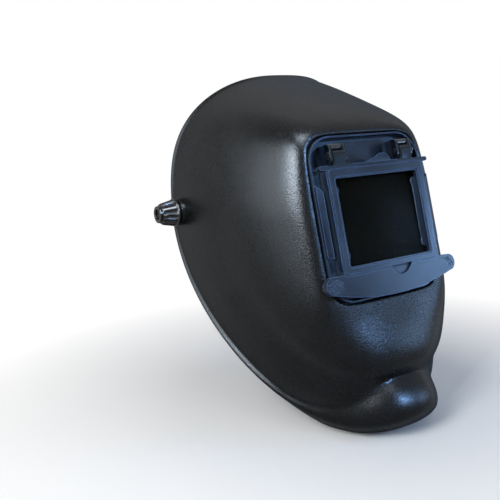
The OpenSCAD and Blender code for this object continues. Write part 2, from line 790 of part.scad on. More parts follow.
module rod_z(z0, z1, d) {
  translate([0, 0, z0]) cylinder(d = d, h = z1 - z0);
}
// A press button through the lapped strap ends
module crown_button() color(band_grey) at_gear() {
  top = crown_z + crown_rise + arm_x0 + crown_shift + band_t + soft_gap;
  low = crown_z + arm_x0 - soft_gap;
  translate([0, strap_y, 0]) {
    rod_z(low - 1.4, low, 9);
    rod_z(low, top, strap_hole_d - 2 * seat_gap);
    rod_z(top, top + 1.6, 11);
  }
}

// Foam pads: a crowned section carried round the band
module crowned(t, h) {
  intersection() {
    translate([-t, -h / 2]) square([t, h]);
    translate([h * 0.75 - t, 0]) circle(h * 0.75);
  }
}
module sweatband() color([0.16, 0.16, 0.17]) at_gear() {
  translate([0, front_y, band_z]) rotate([0, 0, 205]) rotate_extrude(angle = 130)
    translate([band_r - soft_gap, 0]) crowned(pad_t, band_h + 8);
}
module nape_pad() color([0.16, 0.16, 0.17]) at_gear() {
  translate([0, rear_y, band_z]) rotate([0, 0, 64]) rotate_extrude(angle = 52)
    translate([band_r - housing_wall - 2 * soft_gap, 0]) crowned(pad_t - 1, 32);
}

// Pivot arms: stiff plates on the headband's sides, with three pivot holes
module pivot_arm(side) color(band_grey) at_gear() on_side(side) {
  difference() {
    translate([arm_x0, 0, 0]) rotate([90, 0, 90]) linear_extrude(arm_t) {
      translate([0, plate_mid]) rounded(plate_w, plate_h, 8);
      translate([1.5, (band_low + band_h) / 2]) rounded(19, band_low + band_h, 5);
    }
    rotate([band_lean, 0, 0]) for (y = [-1:1]) translate([0, y * spare_hole, 0])
      rod_x(arm_x0 - 1, arm_x1 + 1, bolt_d + 2 * run_gap);
    for (y = rivet_y) translate([0, y, rivet_z]) rod_x(arm_x0 - 1, arm_x1 + 1, rivet_d + 2 * seat_gap);
  }
}
module pivot_arm_left() pivot_arm(-1);
module pivot_arm_right() pivot_arm(1);
module pivot_bolt(side) color([0.1, 0.1, 0.1]) on_side(side) {
  rod_x(arm_x0 - seat_gap - bolt_head_t, arm_x0 - seat_gap, bolt_head_d);
  rod_x(arm_x0 - seat_gap, bolt_x1, bolt_d);
}
module pivot_bolt_left() pivot_bolt(-1);
module pivot_bolt_right() pivot_bolt(1);

// Tilt stop: a sleeve and a disc with two lugs that meet the shell's peg at the limits
module tilt_stop(side) color(band_grey) on_side(side) {
  lug_w = 6;
  lug_turn = asin((peg_d / 2 + lug_w / 2 + soft_gap) / peg_r);
  difference() {
    union() {
      rod_x(arm_x1 + seat_gap, stop_x1, sleeve_d);
      rod_x(stop_x1 - stop_t, stop_x1, boss_d - 4);
      for (a = [180 + lug_turn, 180 - tilt_range - lug_turn]) rotate([a, 0, 0])
        translate([stop_x1 - stop_t + 0.5, boss_d / 4, -lug_w / 2])
          cube([stop_t - 1, peg_r + peg_d / 2 - boss_d / 4, lug_w]);
    }
    rod_x(arm_x1 - 1, stop_x1 + 1, bolt_d + 2 * run_gap);
  }
}
module tilt_stop_left() tilt_stop(-1);
module tilt_stop_right() tilt_stop(1);
module ring_x(x0, x1, d, bore) {
  difference() {
    rod_x(x0, x1, d);
    rod_x(x0 - 1, x1 + 1, bore);
  }
}
module friction_washers() color([0.35, 0.3, 0.24]) {
  for (s = [-1, 1]) on_side(s)
    ring_x(stop_x1 + seat_gap, boss_in - seat_gap, boss_d - 6, bolt_d + 2 * washer_gap);
}
module spring_washers() color(bright_steel) {
  for (s = [-1, 1]) on_side(s)
    ring_x(boss_out + seat_gap, boss_out + seat_gap + washer_t, washer_d, bolt_d + 2 * washer_gap);
}

// Tension knob: flange, ribbed cone, ringed end with a dimple
module tension_knob(side) color([0.05, 0.05, 0.06]) on_side(side) {
  tip_d = knob_d * 0.6;
  body_d = knob_d * 0.86;
  ribs = 16;
  difference() {
    union() {
      translate([knob_x0, 0, 0]) rotate([0, 90, 0]) rotate_extrude() polygon([
        [0, 0], [knob_d / 2, 0], [knob_d / 2, 2], [body_d / 2, 3.5],
        [tip_d / 2 + 1, knob_l - 3], [tip_d / 2, knob_l - 3], [tip_d / 2, knob_l], [0, knob_l]
      ]);
      for (k = [0:ribs - 1]) rotate([k * 360 / ribs, 0, 0]) translate([knob_x0 + 2, 0, 0]) rotate([90, 0, 0])
        linear_extrude(1.6, center = true)
          polygon([[0, 4], [0, body_d / 2 + 1.2], [knob_l - 5, tip_d / 2 + 1.6], [knob_l - 5, 4]]);
    }
    rod_x(knob_x0 - 1, bolt_x1 + 1, bolt_d + 2 * run_gap);
    rod_x(knob_x0 + knob_l - 2.5, knob_x0 + knob_l + 1, tip_d * 0.6);
  }
}
module tension_knob_left() tension_knob(-1);
module tension_knob_right() tension_knob(1);

// Ratchet: housing plate, rear cover with a boss, click ring, knob, pinion and screw
module ratchet_place() {
  at_gear() translate([0, 0, band_z]) children();
}
module rear_arc(r0, r1, turn, h) {
  translate([0, rear_y, 0]) arc_wall(r0, r1, 90 - turn, 90 + turn, -h / 2, h / 2);
}
module ratchet_housing() color(band_grey) ratchet_place() {
  r1 = band_r - soft_gap;
  difference() {
    rear_arc(r1 - housing_wall, r1, housing_turn, housing_h);
    rod_y(rear_y, rear_y + band_r, shaft_d + 2 * run_gap);
  }
}
module ratchet_cover() color(band_grey) ratchet_place() {
  lip_z = tail_h / 2 + soft_gap;
  difference() {
    union() {
      rear_arc(cover_r0, cover_r0 + cover_wall, housing_turn, housing_h);
      for (s = [-1, 1]) translate([0, 0, s * (lip_z + (housing_h / 2 - lip_z) / 2)])
        rear_arc(band_r - soft_gap + seat_gap, cover_r0 + 0.1, housing_turn, housing_h / 2 - lip_z);
      rod_y(rear_y + cover_r0, boss_y1, ring_d + 6);
    }
    rod_y(boss_y1 - ring_t, boss_y1 + 1, ring_d);
    rod_y(rear_y, boss_y1, shaft_d + 2 * run_gap);
  }
}
module ratchet_ring() color([0.8, 0.8, 0.78]) ratchet_place() {
  clicks = 24;
  difference() {
    rod_y(boss_y1 - ring_t + seat_gap, boss_y1 - seat_gap, ring_d - 2 * seat_gap);
    rod_y(boss_y1 - ring_t - 1, boss_y1 + 1, ring_d - 6);
    for (k = [0:clicks - 1]) rotate([0, k * 360 / clicks, 0])
      translate([ring_d / 2 - 3.6, boss_y1 - ring_t - 1, -0.8]) cube([1.6, ring_t + 2, 1.6]);
  }
}
module ratchet_knob() color([0.07, 0.07, 0.08]) ratchet_place() {
  y1 = ratchet_y0 + ratchet_l;
  bevel = 3;
  difference() {
    union() {
      translate([0, ratchet_y0, 0]) rotate([-90, 0, 0]) rotate_extrude() polygon([
        [0, 0], [ratchet_d / 2, 0], [ratchet_d / 2, ratchet_l - bevel], [ratchet_d / 2 - bevel, ratchet_l],
        [0, ratchet_l]
      ]);
      rod_y(boss_y1 - ring_t + 2 * soft_gap, ratchet_y0 + 1, ring_d - 7);
    }
    for (k = [0:ratchet_flutes - 1]) rotate([0, k * 360 / ratchet_flutes, 0])
      translate([ratchet_d / 2 + 1.6, 0, 0]) rod_y(ratchet_y0 + 2, y1 + 1, 6);
    rod_y(boss_y1 - 5, y1 - 5, shaft_d + 0.1);
    rod_y(y1 - 6, y1 - 3, 3.4);
    rod_y(y1 - 3, y1 + 1, 9);
  }
}
module ratchet_pinion() color([0.8, 0.8, 0.78]) ratchet_place() {
  teeth = 8;
  y0 = rear_y + band_r - soft_gap + seat_gap;
  difference() {
    union() {
      rod_y(y0, rear_y + cover_r0 - soft_gap, pinion_d);
      rod_y(y0 - 1.5, ratchet_y0 + ratchet_l - 5.2, shaft_d);
    }
    for (k = [0:teeth - 1]) rotate([0, k * 360 / teeth, 0])
      translate([pinion_d / 2 + 0.2, 0, 0]) rod_y(y0 - 2, rear_y + cover_r0, 1.3, $fn = 24);
    rod_y(ratchet_y0 + ratchet_l - 12, ratchet_y0 + ratchet_l, 2.6);
  }
}
module knob_screw() color(bright_steel) ratchet_place() {
  y1 = ratchet_y0 + ratchet_l - 3;
  difference() {
    union() {
      rod_y(y1 - 8, y1 + seat_gap, 2.5);
      rod_y(y1 + seat_gap, y1 + 2, 6);
    }
    for (a = [0, 90]) rotate([0, a, 0]) translate([-2, y1 + 1, -0.4]) cube([4, 2, 0.8]);
  }
}

shell();
lens_frame();
frame_retainer();
frame_screws();
inner_lens();
inner_gasket();
lens_wire();
hinge_pins();
hinge_springs();
front_holder();
lens_bezel();
filter_lens();
cover_lens();
lens_springs();
headband();
crown_strap_left();
crown_strap_right();
crown_button();
band_rivets();
sweatband();
nape_pad();
pivot_arm_left();
pivot_arm_right();
pivot_bolt_left();
pivot_bolt_right();
tilt_stop_left();
tilt_stop_right();
friction_washers();
spring_washers();
tension_knob_left();
tension_knob_right();
ratchet_housing();
ratchet_cover();
ratchet_ring();
ratchet_knob();
ratchet_pinion();
knob_screw();
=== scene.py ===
"""Welding helmet: moulded shell, flip-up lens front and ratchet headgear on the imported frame."""

import math

import bmesh
import bpy
import numpy as np
from bpy.props import FloatProperty, FloatVectorProperty, IntProperty, PointerProperty
from mathutils import Matrix, Vector


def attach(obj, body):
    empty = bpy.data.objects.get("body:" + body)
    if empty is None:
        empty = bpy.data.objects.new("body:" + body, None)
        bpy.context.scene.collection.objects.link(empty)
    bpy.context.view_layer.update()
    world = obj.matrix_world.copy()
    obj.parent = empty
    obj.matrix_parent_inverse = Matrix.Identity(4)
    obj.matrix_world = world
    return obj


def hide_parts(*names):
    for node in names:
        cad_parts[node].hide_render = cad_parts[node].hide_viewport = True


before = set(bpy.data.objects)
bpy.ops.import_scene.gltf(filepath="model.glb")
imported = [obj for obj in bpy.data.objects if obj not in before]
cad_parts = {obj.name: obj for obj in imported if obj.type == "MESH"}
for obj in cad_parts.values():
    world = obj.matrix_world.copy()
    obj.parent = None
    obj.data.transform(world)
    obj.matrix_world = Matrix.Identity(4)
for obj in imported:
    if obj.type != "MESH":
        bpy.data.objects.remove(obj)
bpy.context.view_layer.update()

bl_info = {
    "name": "Welding helmet",
    "version": (1, 0, 0),
    "blender": (4, 5, 0),
    "location": "View3D > Sidebar > Helmet",
    "description": "Builds the visible pieces of a welding helmet on its CAD frame",
    "category": "Object",
}

MM = 0.001
SIDES = ((-1, "left"), (1, "right"))
X_WAY = (1, 0, 0)

# Points closer than WELD are merged, in metres. Seams flatter than FLAT are dissolved, and edges
# sharper than CREASE, in degrees, are rounded
WELD = 2e-6
FLAT = math.radians(0.6)
CREASE = 30.0

# The lens plane: its middle in millimetres, its lean, and its ways up and out
LENS_CENTRE = np.array([0.0, -186.0, -2.0])
LENS_TILT = math.radians(13.6)
LENS_UP = np.array([0.0, math.sin(LENS_TILT), math.cos(LENS_TILT)])
LENS_OUT = np.array([0.0, -math.cos(LENS_TILT), math.sin(LENS_TILT)])

# The headgear: its lean about X, and the height of the band's middle in millimetres
BAND_LEAN = math.radians(10.0)
BAND_Z = 22.0


# Sizes and colours


def length(name, default, description):
    return FloatProperty(
        name=name, description=description, default=default, unit="LENGTH", subtype="DISTANCE"
    )


def colour(name, default, description):
    return FloatVectorProperty(
        name=name, description=description, default=default, subtype="COLOR", size=3, min=0, max=1
    )


def count(name, default, low, high, description):
    return IntProperty(name=name, description=description, default=default, min=low, max=high)


class HelmetSizes(bpy.types.PropertyGroup):
    """Sizes of the visible pieces, in metres."""

    shell_width: length("Shell width", 0.239, "Width of the shell at the tilt axis")
    rim_rise: length("Rim rise", 0.138, "Height of the rim above the tilt axis")
    rim_drop: length("Rim drop", 0.199, "Depth of the rim below the tilt axis")
    wall: length("Wall", 0.0025, "Thickness of the shell")
    window_width: length("Window width", 0.137, "Width of the window in the shell")
    window_height: length("Window height", 0.156, "Height of the window in the shell")
    edge_round: length("Window edge", 0.0026, "Rounding of the window's front edge")
    chin_roll: length("Chin roll", 0.026, "Height of the roll at the chin")
    columns: count("Shell columns", 384, 96, 480, "Sections round the window")
    edge_soft: length("Frame edges", 0.0008, "Rounding of the lens frame's edges")
    dot_pitch: length("Grip dots", 0.0016, "Pitch of the dots on the handle's end")
    knob_ribs: count("Knob ribs", 16, 8, 24, "Ribs round a tension knob")
    ratchet_flutes: count("Ratchet flutes", 14, 8, 20, "Flutes round the ratchet knob")
    pad_channel: length("Pad channel", 0.021, "Distance between the sweatband's sewn channels")


class HelmetColours(bpy.types.PropertyGroup):
    """Base colours of the finishes, scene linear."""

    shell: colour("Shell", (0.0038, 0.0039, 0.0042), "Grained black shell plastic")
    front: colour("Lens front", (0.005, 0.0095, 0.021), "Navy plastic of the lens frames")
    band: colour("Headband", (0.014, 0.014, 0.016), "Black headband plastic")
    knob: colour("Knobs", (0.006, 0.006, 0.007), "Gloss black knobs and bolts")
    spring: colour("Springs", (0.006, 0.006, 0.008), "Black spring clips")
    foam: colour("Pads", (0.018, 0.019, 0.022), "Cloth over the foam pads")
    steel: colour("Steel", (0.50, 0.51, 0.53), "Zinc-plated steel")
    rubber: colour("Gasket", (0.012, 0.012, 0.012), "Lens gasket")
    fibre: colour("Fibre", (0.16, 0.085, 0.045), "Friction washers")
    nylon: colour("Nylon", (0.62, 0.60, 0.55), "Natural nylon of the ratchet")
    filter: colour("Filter", (0.0012, 0.0013, 0.0012), "Dark filter glass")
    clear: colour("Clear lens", (0.92, 0.95, 0.95), "Clear lenses")


# Meshes from grids of points


def quads(rows, columns, wrap_rows, wrap_columns, start):
    """Corner numbers of the cells of a grid, with the last row or column joined to the first."""
    i = np.arange(rows if wrap_rows else rows - 1)
    j = np.arange(columns if wrap_columns else columns - 1)
    a, b = np.meshgrid(i, j, indexing="ij")
    c, d = (a + 1) % rows, (b + 1) % columns
    cells = [a * columns + b, c * columns + b, c * columns + d, a * columns + d]
    return np.stack(cells, -1).reshape(-1, 4) + start


def mesh_of(name, sheets):
    """A welded mesh, faces outward, from grids in millimetres: points, wrap rows, wrap columns."""
    points = np.concatenate([np.asarray(p, float).reshape(-1, 3) for p, _, _ in sheets]) * MM
    faces, start = [], 0
    for p, wrap_rows, wrap_columns in sheets:
        faces.append(quads(p.shape[0], p.shape[1], wrap_rows, wrap_columns, start))
        start += p.shape[0] * p.shape[1]
    faces = np.concatenate(faces)
    mesh = bpy.data.meshes.new(name)
    mesh.vertices.add(len(points))
    mesh.vertices.foreach_set("co", points.astype(np.float32).ravel())
    mesh.loops.add(faces.size)
    mesh.loops.foreach_set("vertex_index", faces.astype(np.int32).ravel())
    mesh.polygons.add(len(faces))
    mesh.polygons.foreach_set("loop_start", np.arange(0, faces.size, 4, dtype=np.int32))
    mesh.update(calc_edges=True)
    weld(mesh)
    return mesh


def weld(mesh, flatten=None):
    """Merges doubled points, then dissolves flat seams if asked or else turns the faces outward."""
    work = bmesh.new()
    work.from_mesh(mesh)
    bmesh.ops.remove_doubles(work, verts=work.verts, dist=WELD)
    bmesh.ops.dissolve_degenerate(work, edges=work.edges, dist=WELD)
    if flatten:
        bmesh.ops.dissolve_limit(
            work, angle_limit=flatten, verts=work.verts, edges=work.edges, delimit={"NORMAL"}
        )
    else:
        bmesh.ops.recalc_face_normals(work, faces=work.faces)
    work.to_mesh(mesh)
    work.free()
    mesh.update()


def smoothed(mesh, sharp):
    """Shades a mesh smooth, apart from edges sharper than an angle in degrees."""
    mesh.shade_smooth()
    mesh.set_sharp_from_angle(angle=math.radians(sharp))


def piece(name, mesh, body, finish, stands_for=(), sharp=35.0):
    """Puts a mesh in the scene on its body, in its finish and in place of its CAD nodes."""
    smoothed(mesh, sharp)
    obj = bpy.data.objects.new(name, mesh)
    bpy.context.scene.collection.objects.link(obj)
    obj.data.materials.clear()
    obj.data.materials.append(finish)
    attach(obj, body)
    if stands_for:
        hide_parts(*stands_for)
    return obj


def softened(node, name, body, finish, width, segments=2):
    """A merged copy of a CAD node with its sharp edges rounded by a bevel."""
    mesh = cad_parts[node].data.copy()
    mesh.name = name
    weld(mesh, flatten=FLAT)
    obj = piece(name, mesh, body, finish, (node,), sharp=CREASE)
    bevel = obj.modifiers.new("Edges", "BEVEL")
    bevel.width = width
    bevel.segments = segments
    bevel.limit_method = "ANGLE"
    bevel.angle_limit = math.radians(CREASE)
    bevel.miter_outer = "MITER_ARC"
    bevel.use_clamp_overlap = True
    bevel.harden_normals = True
    return obj


def paint(finish, *nodes):
    """Gives CAD nodes a finish in their own material slots."""
    for name in nodes:
        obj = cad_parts[name]
        for slot in obj.material_slots:
            slot.link = "OBJECT"
            slot.material = finish


def in_lens(x, v, n):
    """Points given right, up and out of the lens plane, in the row frame."""
    x, v, n = np.broadcast_arrays(x, v, n)
    flat = np.stack([x, np.zeros_like(x), np.zeros_like(x)], -1)
    return LENS_CENTRE + flat + v[..., None] * LENS_UP + n[..., None] * LENS_OUT


def in_gear(points):
    """Points of the leaning headgear, turned about X into the row frame."""
    c, s = math.cos(BAND_LEAN), math.sin(BAND_LEAN)
    x, y, z = points[..., 0], points[..., 1], points[..., 2]
    return np.stack([x, y * c + z * s, z * c - y * s], -1)


def circle(steps):
    """Even angles round a circle, as a column."""
    return np.linspace(0, 2 * np.pi, steps, endpoint=False)[:, None]


def about_x(x, r, turn):
    """A surface turned about the X axis: distances x along it and radii r at the angles turn."""
    return np.stack([x + 0 * turn, r * np.cos(turn), r * np.sin(turn)], -1)


def unit(v):
    return v / np.linalg.norm(v, axis=-1, keepdims=True)


def ease(u):
    """A smooth step from 0 to 1."""
    k = np.clip(u, 0, 1)
    return k * k * (3 - 2 * k)


def oval(c, s, power):
    """Radius of a superellipse of half axes 1 in the direction (c, s)."""
    return (np.abs(c) ** power + np.abs(s) ** power) ** (-1 / power)


# Finishes


class Graph:
    """A node tree, with short ways to add to it. An input is a constant or a node's output."""

    def __init__(self, tree):
        self.nodes, self.links = tree.nodes, tree.links

    def give(self, node, inputs):
        for key, value in inputs.items():
            if isinstance(value, bpy.types.NodeSocket):
                self.links.new(value, node.inputs[key])
            else:
                node.inputs[key].default_value = value

    def add(self, kind, inputs=None, **settings):
        node = self.nodes.new("ShaderNode" + kind)
        for key, value in settings.items():
            setattr(node, key, value)
        self.give(node, inputs or {})
        return node

    def place(self):
        return self.add("TexCoord").outputs["Object"]

    def noise(self, scale, detail, rough=0.5, stretch=(1, 1, 1)):
        """A noise on object coordinates; scale is in features per metre."""
        place = self.add("Mapping", {"Vector": self.place(), "Scale": stretch}).outputs["Vector"]
        values = {"Vector": place, "Scale": scale, "Detail": detail, "Roughness": rough}
        return self.add("TexNoise", values).outputs["Fac"]

    def ranged(self, field, low, high, start=0.3, end=0.7):
        """Maps a field from start to end, by default a noise's middle, onto low to high."""
        values = {"From Min": start, "From Max": end, "To Min": low, "To Max": high}
        return self.add("MapRange", {"Value": field, **values}).outputs["Result"]

    def joined(self, operation, *fields):
        """Fields put together in turn by ADD, MULTIPLY or another operation of the Math node."""
        whole = fields[0]
        for field in fields[1:]:
            whole = self.add("Math", {0: whole, 1: field}, operation=operation).outputs["Value"]
        return whole

    def vector(self, operation, first, second, output="Value"):
        both = self.add("VectorMath", {0: first, 1: second}, operation=operation)
        return both.outputs[output]

    def mix(self, factor, first, second):
        """The first colour with the second laid over it."""
        colours = {"Factor": factor, "A": first, "B": second}
        return self.add("Mix", colours, data_type="RGBA").outputs["Result"]

    def clouded(self, noise, colour, low, high):
        """A colour that a noise moves between two shades of itself."""
        return self.mix(self.ranged(noise, 0, 1), shade(colour, low), shade(colour, high))

    def bump(self, height, strength, distance, invert=False):
        """Normals of a surface raised by a field, up to a distance in metres."""
        values = {"Height": height, "Strength": strength, "Distance": distance}
        return self.add("Bump", values, invert=invert).outputs["Normal"]


def new_finish(name):
    finish = bpy.data.materials.new(name)
    finish.use_nodes = True
    return finish, Graph(finish.node_tree), finish.node_tree.nodes["Principled BSDF"]


def shade(colour, factor=1.0):
    """A colour made darker or paler, with full alpha."""
    return (*(min(1.0, c * factor) for c in colour), 1)


# The hinge arms and cheeks, which get painted shade, in metres: where they begin up and out of the
# lens, and in the square of x where they begin and end
HINGE_UP, HINGE_OUT = (0.0504, 0.0512), (-0.0065, -0.0058)
HINGE_FROM, HINGE_TO = (0.028**2, 0.029**2), (0.0575**2, 0.0565**2)


def hinge_painted_shade(graph):
    """One on the hinge arms and cheeks, where shade is painted, and nought elsewhere: a product of
    four ranges.
    """
    place = graph.vector("SUBTRACT", graph.place(), LENS_CENTRE * MM, "Vector")
    up = graph.vector("DOT_PRODUCT", place, LENS_UP)
    out = graph.vector("DOT_PRODUCT", place, LENS_OUT)
    x = graph.add("SeparateXYZ", {"Vector": place}).outputs["X"]
    square = graph.joined("MULTIPLY", x, x)
    spans = ((up, HINGE_UP), (out, HINGE_OUT), (square, HINGE_FROM), (square, HINGE_TO))
    return graph.joined("MULTIPLY", *(graph.ranged(field, 0, 1, *ends) for field, ends in spans))


# Paler edges, slight rubbing and a painted edge highlight: the range of pointiness and the most it
# counts, or the range of the cosine between the rounded normal and the surface's own
POINTED, POINTED_MOST, TURNED = (0.53, 0.62), 0.6, (0.85, 0.99)
# Grooves, by how open they are: the range in which edges begin to show, the range in which the
# surface stays dull, and the roughness that this adds
OPEN, SHUT, SHUT_ROUGH = (0.5, 0.8), (0.45, 0.85), 0.6


def edges_and_grooves(graph, groove):
    """The field of paled edges, with painted highlight, and the field of roughness in grooves
    narrower than groove.

    An edge is where a rounded normal turns from the surface's own, outside the grooves. With groove
    at nought, an edge is where the mesh is pointed, and there is no second field.
    """
    surface = graph.add("NewGeometry").outputs
    if not groove:
        return graph.ranged(surface["Pointiness"], 0, POINTED_MOST, *POINTED), None
    free = graph.add("AmbientOcclusion", {"Distance": groove}, samples=8).outputs["AO"]
    rounded = graph.add("Bevel", {"Radius": groove / 6}, samples=6).outputs["Normal"]
    turn = graph.vector("DOT_PRODUCT", rounded, surface["Normal"])
    edge = graph.joined(
        "MULTIPLY", graph.ranged(turn, 1, 0, *TURNED), graph.ranged(free, 0, 1, *OPEN)
    )
    return edge, graph.ranged(free, SHUT_ROUGH, 0, *SHUT)


# Moulded plastic: the clouds' shades and their share of the roughness, the painted shade on the
# hinge arms and cheeks, and the roughness added at a slant with its range of facing
CLOUD_SHADES, CLOUD_ROUGH, PAINTED_SHADE = (0.8, 1.25), 0.04, 0.15
SLANT_ROUGH, SLANT = 0.7, (0.5, 0.9)


def moulded(
    name,
    colour,
    rough,
    grain,
    depth,
    specular,
    tint=(1, 1, 1),
    cloud=22.0,
    edge_paling=1.6,
    speck=0.03,
    shaded_region=None,
    groove=0.0,
):
    """Moulded plastic: a fine grain in the bump, slow clouds in colour and gloss, paler edges.

    Grain is the size of a pebble and depth its height, in metres. Speck is the grain's share of the
    roughness, which also grows where the surface is seen at a slant. Edges are paled: slight
    rubbing at a small paling, a painted edge highlight at a large one. A region of painted shade is
    darkened nearly to black, and grooves narrower than groove are dull.
    """
    finish, graph, shader = new_finish(name)
    fine = graph.noise(1 / grain, 1.5)
    slow = graph.noise(cloud, 3.0, 0.6)
    paled_edges, dull = edges_and_grooves(graph, groove)
    # Edges are paled: slight rubbing at a small paling, a painted highlight along them on the lens
    # front
    base = graph.mix(paled_edges, graph.clouded(slow, colour, *CLOUD_SHADES), shade(colour, edge_paling))
    # Painted shade: the hinge arms and cheeks are darkened nearly to black
    if shaded_region:
        base = graph.mix(shaded_region(graph), base, shade(colour, PAINTED_SHADE))
    roughness = [
        graph.ranged(slow, rough - CLOUD_ROUGH, rough + CLOUD_ROUGH),
        graph.ranged(fine, -speck, speck),
        graph.ranged(graph.add("LayerWeight").outputs["Facing"], 0, SLANT_ROUGH, *SLANT),
    ]
    if dull is not None:
        roughness.append(dull)
    inputs = {
        "Base Color": base,
        "Roughness": graph.joined("ADD", *roughness),
        "Normal": graph.bump(fine, 1.0, depth),
        "Specular IOR Level": specular,
        "Specular Tint": (*tint, 1),
    }
    graph.give(shader, inputs)
    return finish


def plated(name, colour, rough):
    """Zinc-plated steel: drawn streaks in the gloss and a slow change of tone."""
    finish, graph, shader = new_finish(name)
    streak = graph.noise(900, 3.0, 0.7, (0.15, 1, 1))
    inputs = {
        "Base Color": graph.clouded(graph.noise(120, 2.0), colour, 0.75, 1.15),
        "Roughness": graph.ranged(streak, rough - 0.1, rough + 0.12),
        "Normal": graph.bump(streak, 0.5, 0.00003),
        "Metallic": 1.0,
    }
    graph.give(shader, inputs)
    return finish


def dark_glass(name, colour, specular):
    """Filter glass: nearly black, with the faintest haze of cleaning marks in its gloss."""
    finish, graph, shader = new_finish(name)
    haze = graph.noise(60, 4.0, 0.6)
    inputs = {
        "Base Color": graph.mix(haze, shade(colour), shade(colour, 1.3)),
        "Roughness": graph.ranged(haze, 0.08, 0.2),
        "Specular IOR Level": specular,
    }
    graph.give(shader, inputs)
    return finish


def clear_pane(name, colour, ior, specular):
    """Clear plastic pane with a low reflection and slight haze."""
    finish, graph, shader = new_finish(name)
    inputs = {
        "Base Color": shade(colour),
        "Roughness": graph.ranged(graph.noise(80, 4.0, 0.65), 0.0, 0.06),
        "Transmission Weight": 1.0,
        "IOR": ior,
        "Specular IOR Level": specular,
    }
    graph.give(shader, inputs)
    return finish


def towelling(name, colour, sheen, specular):
    """Cloth over foam: looped pile as cells in the bump, painted shade in the hollows round the
    loops, a slow fade in colour, soft sheen.
    """
    finish, graph, shader = new_finish(name)
    cells = {"Vector": graph.place(), "Scale": 1100.0, "Randomness": 0.75}
    loops = graph.add("TexVoronoi", cells).outputs["Distance"]
    slow = graph.noise(45, 3.0, 0.6)
    # Painted shade: the colour darkens away from the cells' points, in the hollows round the raised
    # loops
    between = graph.ranged(loops, 0, 1, 0.2, 0.7)
    inputs = {
        "Base Color": graph.mix(
            between, graph.clouded(slow, colour, 0.8, 1.3), shade(colour, 0.45)
        ),
        "Roughness": graph.ranged(slow, 0.8, 0.95),
        "Normal": graph.bump(loops, 0.8, 0.0004, invert=True),
        "Sheen Weight": sheen,
        "Sheen Roughness": 0.5,
        "Specular IOR Level": specular,
    }
    graph.give(shader, inputs)
    return finish


# Each finish, by the name of its colour: its maker, its name and the maker's values
MAKERS = {
    "shell": (
        moulded,
        "grained_shell",
        dict(
            rough=0.28, grain=0.0012, depth=0.00022, specular=0.12, tint=(0.88, 0.95, 1), speck=0.09
        ),
    ),
    "front": (
        moulded,
        "navy_frame",
        dict(
            rough=0.24,
            grain=0.0006,
            depth=0.00004,
            specular=0.18,
            tint=(0.7, 0.86, 1),
            cloud=30.0,
            # edges paled strongly: a painted edge highlight
            edge_paling=14.0,
            # painted shade, nearly black, on the hinge arms and cheeks
            shaded_region=hinge_painted_shade,
            groove=0.006,
        ),
    ),
    "band": (
        moulded,
        "band_plastic",
        dict(rough=0.45, grain=0.0006, depth=0.00002, specular=0.16),
    ),
    "knob": (
        moulded,
        "gloss_knob",
        dict(rough=0.22, grain=0.0008, depth=0.000004, specular=0.25),
    ),
    "spring": (
        moulded,
        "black_spring",
        dict(rough=0.22, grain=0.0006, depth=0.000006, specular=0.35),
    ),
    "rubber": (
        moulded,
        "gasket_rubber",
        dict(rough=0.75, grain=0.0005, depth=0.00002, specular=0.2),
    ),
    "fibre": (
        moulded,
        "fibre_washer",
        dict(rough=0.8, grain=0.0004, depth=0.00005, specular=0.2),
    ),
    "nylon": (
        moulded,
        "natural_nylon",
        dict(rough=0.4, grain=0.0008, depth=0.00001, specular=0.4),
    ),
    "steel": (plated, "plated_steel", dict(rough=0.32)),
    "filter": (dark_glass, "filter_glass", dict(specular=0.004)),
    "clear": (clear_pane, "clear_pane", dict(ior=1.018, specular=0.5)),
    "foam": (towelling, "pad_cloth", dict(sheen=0.25, specular=0.15)),
}
FINISHES = {}


def finish_of(name):
    """A finish of the helmet, made once from the panel's colour."""
    if name not in FINISHES:
        maker, title, values = MAKERS[name]
        base = getattr(bpy.context.scene.helmet_colours, name)
        FINISHES[name] = maker(title, base, **values)
    return FINISHES[name]


# Shell


